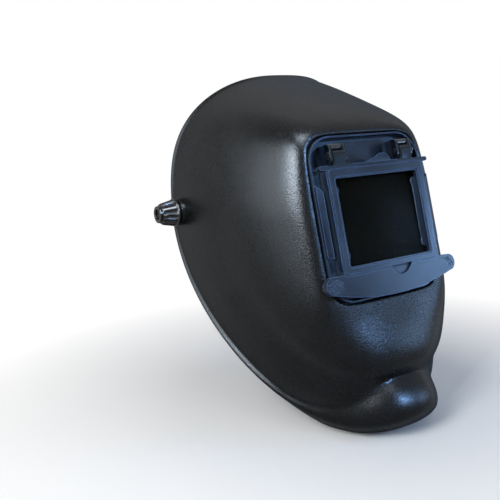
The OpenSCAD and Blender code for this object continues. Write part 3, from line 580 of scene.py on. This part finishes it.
class ShellForm:
    """The shell's surface: one arch per direction round the window, from its edge to the rim.

    Each arch is a cubic Bezier curve. A lip is added along its end and swells into the chin roll,
    and a hollow is taken off above the roll. Lengths are in millimetres and leans in degrees.
    Threes hold values at the brow, the sides and the jaw, and pairs values above and below.
    """

    rim_back = 16.0
    sweep = (45.0, 190.0)
    sweep_power = (3.6, 1.85)
    rim_power = (2.7, 3.1)
    window_mid = 4.0
    window_power = 7
    flange_half_w, flange_half_h, flange_power = 58.3, 48.3, 16
    edge_n = -10.0
    pocket_n = -20.0
    leave_lean = (0.0, -2.0, -6.5)
    leave_reach = (17.5, 37.0, 34.0)
    arrive_lean = (15.0, 5.0, 27.0)
    arrive_reach = (62.0, 48.0, 87.0)
    lip_rise = (1.4, 4.0)
    lip_start = (0.965, 0.95, 0.62)
    # How the lip goes from brow to jaw with the sine of the direction: a start and a slope
    lip_turn = (-0.1, 1.2)
    # The lip's crest along it, and at the chin the crest's shift, the climb's ease and the fall
    crest_at, crest_shift, climb_ease, fall_share = 0.8, 0.4, 0.45, 0.65
    # The arch's parameter at which the lip's way is taken, at the sides and at most at the chin
    flare_at = (0.86, 0.95)
    # The chin roll, by the sine of the direction: its start, the span of its growth and its power
    chin_from, chin_over, chin_power = 0.77, 0.22, 5
    # The hollow's depth, its place and width in the arch's parameter, and how it deepens downward
    hollow_depth, hollow_at, hollow_width, hollow_power = 6.5, 0.63, 0.11, 1.6
    # The spans of the parameter over which the hollow fades in at the window and out at the rim
    fade_in, fade_out = 0.25, 0.2
    # How far the sections crowd into the window's corners, the parameter past which their points
    # crowd towards the rim, and the points before and past it outside and inside
    crowding, crowd_at = math.radians(6.9), 0.88
    outside_points, inside_points = (62, 26), (36, 14)
    # Steps of the parameter and of the direction, for slopes
    slope_t, slope_a = 0.004, math.radians(0.4)
    flare_t, flare_a = 0.01, math.radians(0.5)

    def __init__(self, sizes):
        self.half_w = sizes.shell_width / MM / 2
        self.rise, self.drop = sizes.rim_rise / MM, sizes.rim_drop / MM
        self.wall = sizes.wall / MM
        self.window = sizes.window_width / MM / 2, sizes.window_height / MM / 2
        self.chin_roll = sizes.chin_roll / MM
        self.round = sizes.edge_round / MM

    def toward(self, s, values):
        """The side's value, moving to the brow's or the jaw's with the square of s."""
        return values[1] + (np.where(s >= 0, values[0], values[2]) - values[1]) * s * s

    def window_edge(self, a, grow, n):
        """The window's outline: a superellipse in the lens plane, grown all round, n out of it."""
        c, s = np.cos(a), np.sin(a)
        r = oval(c, s, self.window_power)
        v = self.window_mid + (self.window[1] + grow) * s * r
        return in_lens((self.window[0] + grow) * c * r, v, n)

    def flange_edge(self, a, n):
        """The flange's opening, a squarer superellipse round the lens."""
        c, s = np.cos(a), np.sin(a)
        r = oval(c, s, self.flange_power)
        return in_lens(self.flange_half_w * c * r, self.flange_half_h * s * r, n)

    def rim_edge(self, a):
        """The rim: a superellipse from the front, swept forward by a power of the height."""
        c, s = np.cos(a), np.sin(a)
        top = s >= 0
        r = oval(c, s, np.where(top, *self.rim_power))
        high = np.abs(s * r)
        forward = np.where(top, *self.sweep) * high ** np.where(top, *self.sweep_power)
        z = np.where(top, self.rise, self.drop) * s * r
        return np.stack([self.half_w * c * r, self.rim_back - forward, z], -1)

    def arch(self, a, t):
        """Bezier curves from the window's edge, left at a lean to the lens plane, to the rim.

        Each arrives at the rim at a lean to the Y axis. The reaches are the lengths of its handles.
        """
        a, t = np.broadcast_arrays(a, t)
        c, s = np.cos(a), np.sin(a)
        zero = np.zeros_like(c)
        away = np.stack([c, zero, zero], -1) + s[..., None] * LENS_UP
        outward = np.stack([c, zero, s], -1)
        lean_w = np.radians(self.toward(s, self.leave_lean))[..., None]
        lean_r = np.radians(self.toward(s, self.arrive_lean))[..., None]
        begin, end = self.window_edge(a, 0, self.edge_n), self.rim_edge(a)
        leave = np.cos(lean_w) * away - np.sin(lean_w) * LENS_OUT
        arrive = np.cos(lean_r) * np.array([0.0, 1.0, 0.0]) + np.sin(lean_r) * outward
        p1 = begin + self.toward(s, self.leave_reach)[..., None] * leave
        p2 = end - self.toward(s, self.arrive_reach)[..., None] * arrive
        t = t[..., None]
        u = 1 - t
        return u**3 * begin + 3 * u * u * t * p1 + 3 * u * t * t * p2 + t**3 * end

    def flare_way(self, a, t, wide):
        """The way the lip stands up: across the arch, at the sides as it is before its end."""
        side, most = self.flare_at
        t = side + (np.minimum(t, most) - side) * wide
        ahead = self.arch(a, t + self.flare_t) - self.arch(a, t - self.flare_t)
        around = self.arch(a + self.flare_a, t) - self.arch(a - self.flare_a, t)
        return unit(np.cross(ahead, around))

    def skin(self, a, t):
        """The arch, moved across itself by the lip less the hollow.

        The lip climbs by a smooth step to its crest. At the chin it falls again with the square of
        the distance past the crest. The hollow is a bell of t that deepens towards the chin.
        """
        a, t = np.broadcast_arrays(a, t)
        s = np.sin(a)
        down = np.maximum(-s, 0)
        low = ease(self.lip_turn[0] - self.lip_turn[1] * s)
        wide = ease((-s - self.chin_from) / self.chin_over)
        chin = wide * down**self.chin_power
        brow, jaw = self.lip_rise
        rise = brow + (jaw - brow) * low + (self.chin_roll - jaw) * chin
        brow, side, jaw = self.lip_start
        start = brow + (side - brow) * low
        start = start + (jaw - side) * wide
        u = (t - start) / (1 - start)
        crest = self.crest_at - self.crest_shift * chin
        climb = ease(u / crest) ** (1 - self.climb_ease * chin)
        fall = self.fall_share * chin * (np.maximum(u - crest, 0) / (1 - crest)) ** 2
        bell = np.exp(-(((t - self.hollow_at) / self.hollow_width) ** 2))
        hollow = self.hollow_depth * down**self.hollow_power * bell
        hollow = hollow * ease(t / self.fade_in) * ease((1 - t) / self.fade_out)
        lift = rise * (climb - fall) - hollow
        return self.arch(a, t) + lift[..., None] * self.flare_way(a, t, wide)

    def along(self, a, t):
        """The way along the skin: the difference of points a little after t and before it."""
        after, before = np.minimum(t + self.slope_t, 1), np.maximum(t - self.slope_t, 0)
        return self.skin(a, after) - self.skin(a, before)

    def normal(self, a, t):
        """The way out of the skin: across the ways along it and round it."""
        around = self.skin(a + self.slope_a, t) - self.skin(a - self.slope_a, t)
        return unit(np.cross(self.along(a, t), around))

    def two_runs(self, start, end, points):
        """Parameters from start to crowd_at and on to end, as a row."""
        first = np.linspace(start, self.crowd_at, points[0])
        return np.concatenate([first, np.linspace(self.crowd_at, end, points[1])[1:]])[None, :]

    def sections(self, columns):
        """Closed sections of the wall.

        Each goes over the pocket's flange and side, the rounded edge, the outside, the rim's half
        circle and the inside, which is the outside moved in by the wall.
        """
        a = circle(columns)
        a = a + self.crowding * np.sin(4 * a)
        pocket, wall, half = self.pocket_n, self.wall, self.wall / 2
        mix = np.linspace(0, 1, 4)[None, :-1, None]
        flange = (1 - mix) * self.flange_edge(a, pocket) + mix * self.window_edge(a, 0, pocket)
        depth = pocket + (self.edge_n - self.round - pocket) * np.linspace(0, 1, 5)[None, :]
        side = self.window_edge(a, 0, depth)
        first = self.round / (3 * self.toward(np.sin(a), self.leave_reach))
        k = np.linspace(0, 1, 7)[None, 1:-1, None]
        corner = self.window_edge(a, 0, self.edge_n)
        edge = (1 - k) ** 2 * side[:, -1:] + 2 * k * (1 - k) * corner + k * k * self.skin(a, first)
        run = self.two_runs(0, 0.992, self.outside_points)
        outside = self.skin(a, first + (1 - first) * run)
        end = np.ones_like(a)
        out, ahead = self.normal(a, end), unit(self.along(a, end))
        middle = self.skin(a, end) - half * (out + ahead)
        swing = np.linspace(np.pi / 2, -np.pi / 2, 9)[None, :, None]
        rim = middle + half * (np.sin(swing) * out + np.cos(swing) * ahead)
        back = self.two_runs(0.985, 0.06, self.inside_points[::-1])
        inside = self.skin(a, back) - wall * self.normal(a, back)
        behind = self.window_edge(a, wall, np.array([[self.edge_n - wall, pocket - wall]]))
        flange_back = self.flange_edge(a, pocket - wall)
        return np.concatenate([flange, side, edge, outside, rim, inside, behind, flange_back], 1)


def ring_x(stations, side, around=64):
    """A ring turned about the X axis from a closed outline of (x, radius) stations."""
    x, r = (np.array(v, float) for v in zip(*stations))
    return about_x(side * x, r, circle(around))


def rod(centre, way, radius, half, around=32):
    """A closed rod: its ends are single points, so that they weld shut."""
    turn = circle(around)
    way, aside = np.asarray(way, float), [0.3, 0.5, 0.81]
    across = unit(np.cross(way, aside))
    other = np.cross(way, across)
    reach = np.array([[-half, -half, half, half]])
    r = np.array([[0, radius, radius, 0]])
    return (
        np.asarray(centre)
        + (reach + 0 * turn)[..., None] * way
        + (r * np.cos(turn))[..., None] * across
        + (r * np.sin(turn))[..., None] * other
    )


def cut(obj, sheets):
    """Takes closed cutters away from a piece and keeps the result as its mesh."""
    cutter = bpy.data.objects.new("cutter", mesh_of("cutter", sheets))
    bpy.context.scene.collection.objects.link(cutter)
    boolean = obj.modifiers.new("Holes", "BOOLEAN")
    boolean.object, boolean.operation, boolean.solver = cutter, "DIFFERENCE", "EXACT"
    bpy.context.view_layer.update()
    evaluated = obj.evaluated_get(bpy.context.evaluated_depsgraph_get())
    done = bpy.data.meshes.new_from_object(evaluated)
    obj.modifiers.clear()
    obj.data = done
    bpy.data.objects.remove(cutter)


# Pivot holes, flange screws and stop pegs: places, radii and half lengths in millimetres
PIVOT_X, PIVOT_R, PIVOT_HALF, PIVOT_STEPS = 118, 9.0, 12, 48
SCREW_X, SCREW_V, SCREW_N, SCREW_R, SCREW_HALF = 63.0, 52.5, -21.2, 2.25, 3
PEG_X, PEG_Y, PEG_R, PEG_HALF = 111.1, -24, 3.0, 3.35
# Edges of the shell sharper than this stay sharp, in degrees
SHELL_SHARP = 38
# The section of a pivot pad, as distances from the middle and radii
PAD_OUTLINE = [
    (113.5, 4.1),
    (113.5, 13.4),
    (114.1, 14),
    (121.2, 14),
    (122.1, 13.5),
    (122.5, 12.6),
    (122.5, 4.1),
]


class HELMET_OT_shell(bpy.types.Operator):
    """Moulded shell with its pivot pads and stop pegs"""

    bl_idname = "helmet.shell"
    bl_label = "Shell"

    def execute(self, context):
        sizes, black = context.scene.helmet_sizes, finish_of("shell")
        mesh = mesh_of("face_shell", [(ShellForm(sizes).sections(sizes.columns), True, True)])
        obj = piece("face_shell", mesh, "shell", black, ("shell",))
        holes = [
            rod((s * PIVOT_X, 0, 0), X_WAY, PIVOT_R, PIVOT_HALF, PIVOT_STEPS) for s, _ in SIDES
        ]
        holes += [
            rod(in_lens(x * SCREW_X, v * SCREW_V, SCREW_N), LENS_OUT, SCREW_R, SCREW_HALF)
            for x in (-1, 1)
            for v in (-1, 1)
        ]
        cut(obj, [(hole, True, False) for hole in holes])
        smoothed(obj.data, SHELL_SHARP)
        pads = [(ring_x(PAD_OUTLINE, s), True, True) for s, _ in SIDES]
        pegs = [rod((s * PEG_X, PEG_Y, 0), X_WAY, PEG_R, PEG_HALF) for s, _ in SIDES]
        pads += [(peg, True, False) for peg in pegs]
        piece("pivot_pads", mesh_of("pivot_pads", pads), "shell", black)
        return {"FINISHED"}


# Lens front


# The dotted ellipse on the handle's left end, in the lens plane: its middle and half axes
DOT_CENTRE, DOT_REACH = (-70.0, -54.6), (9.0, 6.2)
# A dot's radius as a share of the pitch, the height of its foot and its own height
DOT_SHARE, DOT_FOOT, DOT_HEIGHT = 0.36, 1.45, 0.65


def grip_dots(pitch):
    """Low domes of two rings and a tip, on a hexagonal grid inside an ellipse."""
    i, j = np.meshgrid(np.arange(-9, 10), np.arange(-9, 10), indexing="ij")
    x = (i + 0.5 * (j % 2)) * pitch
    v = j * pitch * 0.866
    keep = (x / DOT_REACH[0]) ** 2 + (v / DOT_REACH[1]) ** 2 < 1
    x = x[keep][:, None, None] + DOT_CENTRE[0]
    v = v[keep][:, None, None] + DOT_CENTRE[1]
    turn = circle(6)[None]
    r = pitch * DOT_SHARE * np.array([1.0, 0.7, 0.0])
    n = DOT_FOOT + DOT_HEIGHT * np.array([0.0, 0.7, 1.0])
    points = in_lens(x + r * np.cos(turn), v + r * np.sin(turn), n)
    return [(dot, True, False) for dot in points]


class HELMET_OT_lens_front(bpy.types.Operator):
    """Fixed lens frame, flip-up holder, bezel and bowed strips, with their edges rounded"""

    bl_idname = "helmet.lens_front"
    bl_label = "Lens front"

    def execute(self, context):
        sizes, navy = context.scene.helmet_sizes, finish_of("front")
        for node, name, body, share, segments in (
            ("lens_frame", "pocket_frame", "shell", 1.0, 3),
            ("frame_retainer", "clamp_frame", "shell", 1.0, 2),
            ("front_holder", "flip_holder", "front", 1.8, 3),
            ("lens_bezel", "bezel", "front", 1.5, 3),
            ("lens_springs", "bowed_strips", "front", 0.8, 2),
        ):
            width = sizes.edge_soft * share
            softened(node, name, body, navy, width, segments)
        dots = mesh_of("grip_dots", grip_dots(sizes.dot_pitch / MM))
        piece("grip_dots", dots, "front", navy, sharp=60)
        return {"FINISHED"}


class HELMET_OT_lenses(bpy.types.Operator):
    """Dark filter, clear lenses and gasket"""

    bl_idname = "helmet.lenses"
    bl_label = "Lenses"

    def execute(self, context):
        paint(finish_of("filter"), "filter_lens")
        paint(finish_of("clear"), "cover_lens", "inner_lens")
        paint(finish_of("rubber"), "inner_gasket")
        return {"FINISHED"}


class HELMET_OT_hinges(bpy.types.Operator):
    """Rolled springs, pins, screws, washers and the lens wire"""

    bl_idname = "helmet.hinges"
    bl_label = "Hinges and screws"

    def execute(self, context):
        black = finish_of("spring")
        softened("hinge_springs", "rolled_clips", "shell", black, 0.0002)
        paint(black, "hinge_pins")
        paint(finish_of("steel"), "frame_screws", "lens_wire", "spring_washers", "knob_screw")
        paint(finish_of("fibre"), "friction_washers")
        return {"FINISHED"}


# Knobs


# A tension knob: its foot's distance from the middle, its outline and its bore's as (distance,
# radius), the steps round it per rib and the height of a rib, in millimetres
KNOB_X = 124.3
KNOB_OUTLINE = [
    (0, 4.1), (0, 14.4), (0.3, 14.85), (0.7, 15), (1.6, 15), (2.0, 14.8), (2.3, 14.3),
    (3.4, 12.9), (9, 11.7), (17.2, 10.0), (17.7, 9.8), (18.0, 9.2), (18.0, 9.0), (20.5, 9.0),
    (20.85, 8.8), (21, 8.4), (21, 6.0), (20.8, 5.6), (20.3, 5.4), (18.6, 5.4), (18.5, 0),
]
KNOB_BORE = [(0, 4.1), (15.6, 4.1), (15.6, 0)]
RIB_STEPS, RIB_HEIGHT = 12, 1.25


def turned(stations, detail):
    """Points along an outline of (distance, radius) stations, spaced evenly between them."""
    s = np.linspace(0, len(stations) - 1, (len(stations) - 1) * detail + 1)
    k = np.arange(len(stations))
    d, r = (np.array(v, float) for v in zip(*stations))
    return np.interp(s, k, d), np.interp(s, k, r)


def knob_surface(side, ribs):
    """A ribbed cone about X: the outline's radius plus ribs.

    A rib is a raised cosine to the fourth power round the knob, eased out at both ends of the cone.
    """
    d, r = turned(KNOB_OUTLINE, 3)
    turn = circle(ribs * RIB_STEPS)
    rib = np.cos(turn * ribs / 2) ** 8
    height = RIB_HEIGHT * ease((d - 2.2) / 1.2) * ease((17.6 - d) / 0.8) * (r > 9.5)
    return about_x(side * (KNOB_X + d), r + rib * height, turn)


def knob_bore(side, ribs):
    """The blind bore of a knob, turned about X."""
    d, r = turned(KNOB_BORE, 2)
    return about_x(side * (KNOB_X + d), r, circle(ribs * RIB_STEPS))


class HELMET_OT_tension_knobs(bpy.types.Operator):
    """Ribbed tension knobs, their bolts and tilt stops"""

    bl_idname = "helmet.tension_knobs"
    bl_label = "Tension knobs"

    def execute(self, context):
        ribs = context.scene.helmet_sizes.knob_ribs
        gloss, band = finish_of("knob"), finish_of("band")
        for side, word in SIDES:
            sheets = [(make(side, ribs), True, False) for make in (knob_surface, knob_bore)]
            name, body, node = "ribbed_knob_" + word, "knob_" + word, "tension_knob_" + word
            piece(name, mesh_of(body, sheets), body, gloss, (node,))
            paint(gloss, "pivot_bolt_" + word)
            stop, sleeve = "tilt_stop_" + word, "stop_sleeve_" + word
            softened(stop, sleeve, "headgear", band, 0.0004)
        return {"FINISHED"}


# Headgear


class HELMET_OT_headgear(bpy.types.Operator):
    """Headband, crown strap, pivot plates, rivets, button and the ratchet's case"""

    bl_idname = "helmet.headgear"
    bl_label = "Headgear"

    def execute(self, context):
        band = finish_of("band")
        for node, name in (
            ("headband", "head_strip"),
            ("crown_strap_left", "crown_strip_left"),
            ("crown_strap_right", "crown_strip_right"),
            ("crown_button", "press_button"),
            ("band_rivets", "strip_rivets"),
            ("pivot_arm_left", "pivot_plate_left"),
            ("pivot_arm_right", "pivot_plate_right"),
            ("ratchet_housing", "rear_plate"),
            ("ratchet_cover", "rear_cover"),
        ):
            softened(node, name, "headgear", band, 0.00035)
        paint(finish_of("nylon"), "ratchet_ring", "ratchet_pinion")
        return {"FINISHED"}


# Pads, in millimetres: points along and round, height, reach of the pinched ends, a seam's press as
# a share of the depth and its width, a seam's tuck as a share of the height and its width
PAD_ALONG, PAD_ROUND = 260, 72
PAD_HIGH, PINCH_REACH = 32.0, 9.0
SEAM_PRESS, SEAM_WIDTH = 0.34, 2.0
TUCK_SHARE, TUCK_WIDTH = 0.035, 3.0


def pad_surface(centre_y, outer, arc, thick, channel):
    """A padded strip round part of a circle: a flat back, a crowned face and pinched ends.

    Along the arc, sewn channels press the face in by a bell of distance from each seam; across it,
    the section is a superellipse whose back half is shallow. A faint ripple runs over the face.
    """
    u = np.linspace(0, 1, PAD_ALONG)[:, None]
    turn = circle(PAD_ROUND).T
    c, s = np.cos(turn), np.sin(turn)
    r = oval(c, s, 3.0)
    across, deep = r * s, r * c
    span = np.radians(arc[1] - arc[0]) * outer
    from_end = np.minimum(u, 1 - u) * span
    pinch = np.sqrt(np.clip(1 - (1 - np.clip(from_end / PINCH_REACH, 0, 1)) ** 2.2, 0, 1))
    seams = np.maximum(np.round(span / channel), 2)
    near = np.abs((u * seams + 0.5) % 1 - 0.5) * span / seams
    press = 1 - SEAM_PRESS * np.exp(-((near / SEAM_WIDTH) ** 2))
    ripple = 1 + 0.03 * np.sin(u * 61 + 2.3 * across) * np.sin(u * 23 + 1.7)
    face = np.where(deep > 0, deep * press * ripple, deep * 0.25)
    radius = np.minimum(outer - 0.2 * thick - 0.8 * thick * pinch * face, outer)
    tuck = 1 - TUCK_SHARE * np.exp(-((near / TUCK_WIDTH) ** 2))
    z = BAND_Z + PAD_HIGH / 2 * across * tuck * (0.35 + 0.65 * pinch)
    angle = np.radians(arc[0] + (arc[1] - arc[0]) * u) + 0 * turn
    points = np.stack([radius * np.cos(angle), centre_y + radius * np.sin(angle), z], -1)
    points[0], points[-1] = points[0].mean(0), points[-1].mean(0)
    return in_gear(points)


class HELMET_OT_pads(bpy.types.Operator):
    """Cloth-covered sweatband and nape pad"""

    bl_idname = "helmet.pads"
    bl_label = "Pads"

    def execute(self, context):
        channel = context.scene.helmet_sizes.pad_channel / MM
        for name, node, centre_y, outer, arc, thick in (
            ("brow_pad", "sweatband", -10.0, 83.7, (205.0, 335.0), 6.0),
            ("neck_pad", "nape_pad", 34.0, 81.4, (64.0, 116.0), 5.0),
        ):
            grid = pad_surface(centre_y, outer, arc, thick, channel)
            mesh = mesh_of(name, [(grid, False, True)])
            obj = piece(name, mesh, "headgear", finish_of("foam"), (node,), sharp=80)
        return {"FINISHED"}


# The ratchet knob: its seat's distance along the shaft, its outline as (distance, radius), the
# steps round it per flute, and a flute's depth and width as a share of its half pitch
RATCHET_Y = 129.6
RATCHET_OUTLINE = [
    (-3.4, 2.55), (-3.4, 11.5), (0, 11.5), (0, 22.0), (0.4, 22.7), (1.0, 23), (2.2, 23),
    (7, 23), (12.2, 23), (13.4, 22.7), (14.6, 21.8), (15.4, 20.6), (15.9, 19.0), (16, 17.5),
    (16, 9.0), (15.8, 7.6), (15.2, 7.0), (13.2, 6.6), (13, 5.6), (13, 1.3),
]
FLUTE_STEPS, FLUTE_DEPTH, FLUTE_WIDTH = 16, 1.7, 0.42


def fluted_surface(flutes):
    """A fluted knob about its shaft: flat-topped bells round the rim, fading at its face."""
    d, r = turned(RATCHET_OUTLINE, 4)
    turn = circle(flutes * FLUTE_STEPS)
    near = np.abs((turn * flutes / (2 * np.pi)) % 1 - 0.5) * 2
    flute = np.exp(-((near / FLUTE_WIDTH) ** 4))
    depth = FLUTE_DEPTH * ease((d - 1.6) / 2.0) * np.where(r > 14, ease((r - 15) / 6), 0)
    r = r - flute * depth
    y = RATCHET_Y + d + 0 * turn
    return in_gear(np.stack([r * np.cos(turn), y, BAND_Z + r * np.sin(turn)], -1))


class HELMET_OT_ratchet(bpy.types.Operator):
    """Fluted ratchet knob"""

    bl_idname = "helmet.ratchet"
    bl_label = "Ratchet"

    def execute(self, context):
        grid = fluted_surface(context.scene.helmet_sizes.ratchet_flutes)
        mesh = mesh_of("fluted_knob", [(grid, True, False)])
        gloss = finish_of("knob")
        piece("fluted_knob", mesh, "ratchet", gloss, ("ratchet_knob",))
        return {"FINISHED"}


# Stage


# The camera: its sensor in millimetres, its focal length in picture widths, its place and its ways
SENSOR, FOCAL = 36.0, 658.98 / 500
CAMERA_AT = (-0.42478, -0.63615, 0.08926)
CAMERA_WAYS = (
    (0.8452, -0.5320, -0.0514),
    (0.1432, 0.1328, 0.9807),
    (-0.5149, -0.8363, 0.1884),
)
# The floor: its height and half size in millimetres, and in metres the middle of its shadow and the
# distances from it over which the floor fades to white
FLOOR_Z, FLOOR_HALF = -206.2, 6000.0
SHADOW_AT, SHADOW_FADE = (0, -0.1, -0.2062), (0.16, 0.45)
# Strength of the surroundings as light, and as they are seen
FILL_LIGHT, SEEN_LIGHT = 0.4, 1.0
# Name, target, azimuth, elevation, distance, size, radiance, tint and whether seen in gloss alone
LAMPS = (
    ("side_lamp", (0, -0.12, 0.03), -70, 22, 0.8, (0.34, 0.4), 12, (0.94, 0.97, 1), False),
    ("side_sheen", (0, -0.12, 0.03), -70, 22, 0.6, (0.25, 0.28), 68, (0.84, 0.91, 1), True),
    ("left_sheen", (0, -0.1, 0), -97, 14, 0.8, (0.52, 0.5), 11, (0.86, 0.93, 1), True),
    ("front_lamp", (0, -0.2, -0.05), 52, 7, 1.0, (0.28, 0.31), 20, (0.36, 0.6, 1), False),
    ("top_sheen", (0, -0.15, 0.02), -22, 64, 0.8, (0.5, 0.26), 42, (0.84, 0.91, 1), True),
    ("chin_sheen", (0, -0.22, -0.17), 17, 29, 5.0, (1.0, 0.36), 760, (0.3, 0.54, 1), True),
)


def lamp(name, target, azimuth, elevation, distance, size, radiance, tint, gloss_only):
    """A rectangular soft lamp that looks at a point; its power follows from its radiance and area.

    A gloss-only lamp shows as a highlight and leaves the level of light on the object as it is.
    """
    a, e = math.radians(azimuth), math.radians(elevation)
    way = Vector((math.sin(a) * math.cos(e), -math.cos(a) * math.cos(e), math.sin(e)))
    data = bpy.data.lights.new(name, "AREA")
    data.shape = "RECTANGLE"
    data.size, data.size_y = size
    data.energy = radiance * math.pi * size[0] * size[1]
    data.color = tint
    obj = bpy.data.objects.new(name, data)
    obj.location = Vector(target) + distance * way
    obj.rotation_euler = way.to_track_quat("Z", "Y").to_euler()
    obj.visible_camera = False
    obj.visible_diffuse = not gloss_only
    bpy.context.scene.collection.objects.link(obj)


def seen_rays(graph):
    """One for camera, glossy and transmission rays, which see the white surroundings."""
    path = graph.add("LightPath").outputs
    rays = (path["Is Camera Ray"], path["Is Glossy Ray"], path["Is Transmission Ray"])
    return graph.joined("MAXIMUM", *rays)


class HELMET_OT_stage(bpy.types.Operator):
    """Camera, pale floor, white surroundings and soft lamps"""

    bl_idname = "helmet.stage"
    bl_label = "Stage"

    def execute(self, context):
        scene = context.scene
        scene.view_settings.view_transform = "Standard"
        camera = bpy.data.objects.new("camera", bpy.data.cameras.new("camera"))
        camera.data.sensor_width = SENSOR
        camera.data.lens = SENSOR * FOCAL
        camera.data.clip_start = 0.01
        place = Matrix(CAMERA_WAYS).transposed().to_4x4()
        place.translation = CAMERA_AT
        camera.matrix_world = place
        scene.collection.objects.link(camera)
        scene.camera = camera
        self.floor(scene)
        self.surroundings(scene)
        for values in LAMPS:
            lamp(*values)
        return {"FINISHED"}

    def floor(self, scene):
        """A flat floor that fades to plain white round the object's shadow."""
        ends = [-FLOOR_HALF, FLOOR_HALF]
        grid = np.stack(np.meshgrid(ends, ends, [FLOOR_Z], indexing="ij"), -1)[:, :, 0]
        mesh = mesh_of("floor", [(grid, False, False)])
        if mesh.polygons[0].normal.z < 0:
            mesh.flip_normals()
        floor = bpy.data.objects.new("floor", mesh)
        scene.collection.objects.link(floor)
        finish = bpy.data.materials.new("pale_floor")
        finish.use_nodes = True
        graph = Graph(finish.node_tree)
        graph.nodes.clear()
        reach = graph.vector("DISTANCE", graph.place(), SHADOW_AT)
        fade = graph.joined("MULTIPLY", graph.ranged(reach, 0, 1, *SHADOW_FADE), seen_rays(graph))
        matt = graph.add("BsdfDiffuse", {"Color": (0.9, 0.9, 0.9, 1)}).outputs[0]
        white = graph.add("Emission", {"Strength": SEEN_LIGHT}).outputs[0]
        both = graph.add("MixShader", {0: fade, 1: matt, 2: white}).outputs[0]
        graph.add("OutputMaterial", {"Surface": both})
        floor.data.materials.append(finish)

    def surroundings(self, scene):
        """A white world, dimmer as light than as it is seen."""
        world = bpy.data.worlds.new("studio")
        scene.world = world
        world.use_nodes = True
        graph = Graph(world.node_tree)
        graph.nodes.clear()
        fill, white = (
            graph.add("Background", {"Color": (1, 1, 1, 1), "Strength": strength}).outputs[0]
            for strength in (FILL_LIGHT, SEEN_LIGHT)
        )
        both = graph.add("MixShader", {0: seen_rays(graph), 1: fill, 2: white}).outputs[0]
        graph.add("OutputWorld", {"Surface": both})


OPERATORS = (
    HELMET_OT_stage,
    HELMET_OT_shell,
    HELMET_OT_lens_front,
    HELMET_OT_lenses,
    HELMET_OT_hinges,
    HELMET_OT_tension_knobs,
    HELMET_OT_headgear,
    HELMET_OT_pads,
    HELMET_OT_ratchet,
)


class HELMET_PT_panel(bpy.types.Panel):
    """Lists the helmet's pieces with their sizes and colours"""

    bl_idname = "HELMET_PT_panel"
    bl_label = "Welding helmet"
    bl_space_type = "VIEW_3D"
    bl_region_type = "UI"
    bl_category = "Helmet"

    def draw(self, context):
        for group in (context.scene.helmet_sizes, context.scene.helmet_colours):
            box = self.layout.box()
            for name in group.__annotations__:
                box.prop(group, name)
        for operator in OPERATORS:
            self.layout.operator(operator.bl_idname)


CLASSES = (HelmetSizes, HelmetColours, *OPERATORS, HELMET_PT_panel)


def register():
    for cls in CLASSES:
        bpy.utils.register_class(cls)
    bpy.types.Scene.helmet_sizes = PointerProperty(type=HelmetSizes)
    bpy.types.Scene.helmet_colours = PointerProperty(type=HelmetColours)


def unregister():
    del bpy.types.Scene.helmet_colours
    del bpy.types.Scene.helmet_sizes
    for cls in reversed(CLASSES):
        bpy.utils.unregister_class(cls)


def main():
    register()
    bpy.ops.helmet.stage()
    bpy.ops.helmet.shell()
    bpy.ops.helmet.lens_front()
    bpy.ops.helmet.lenses()
    bpy.ops.helmet.hinges()
    bpy.ops.helmet.tension_knobs()
    bpy.ops.helmet.headgear()
    bpy.ops.helmet.pads()
    bpy.ops.helmet.ratchet()


if __name__ == "__main__":
    main()
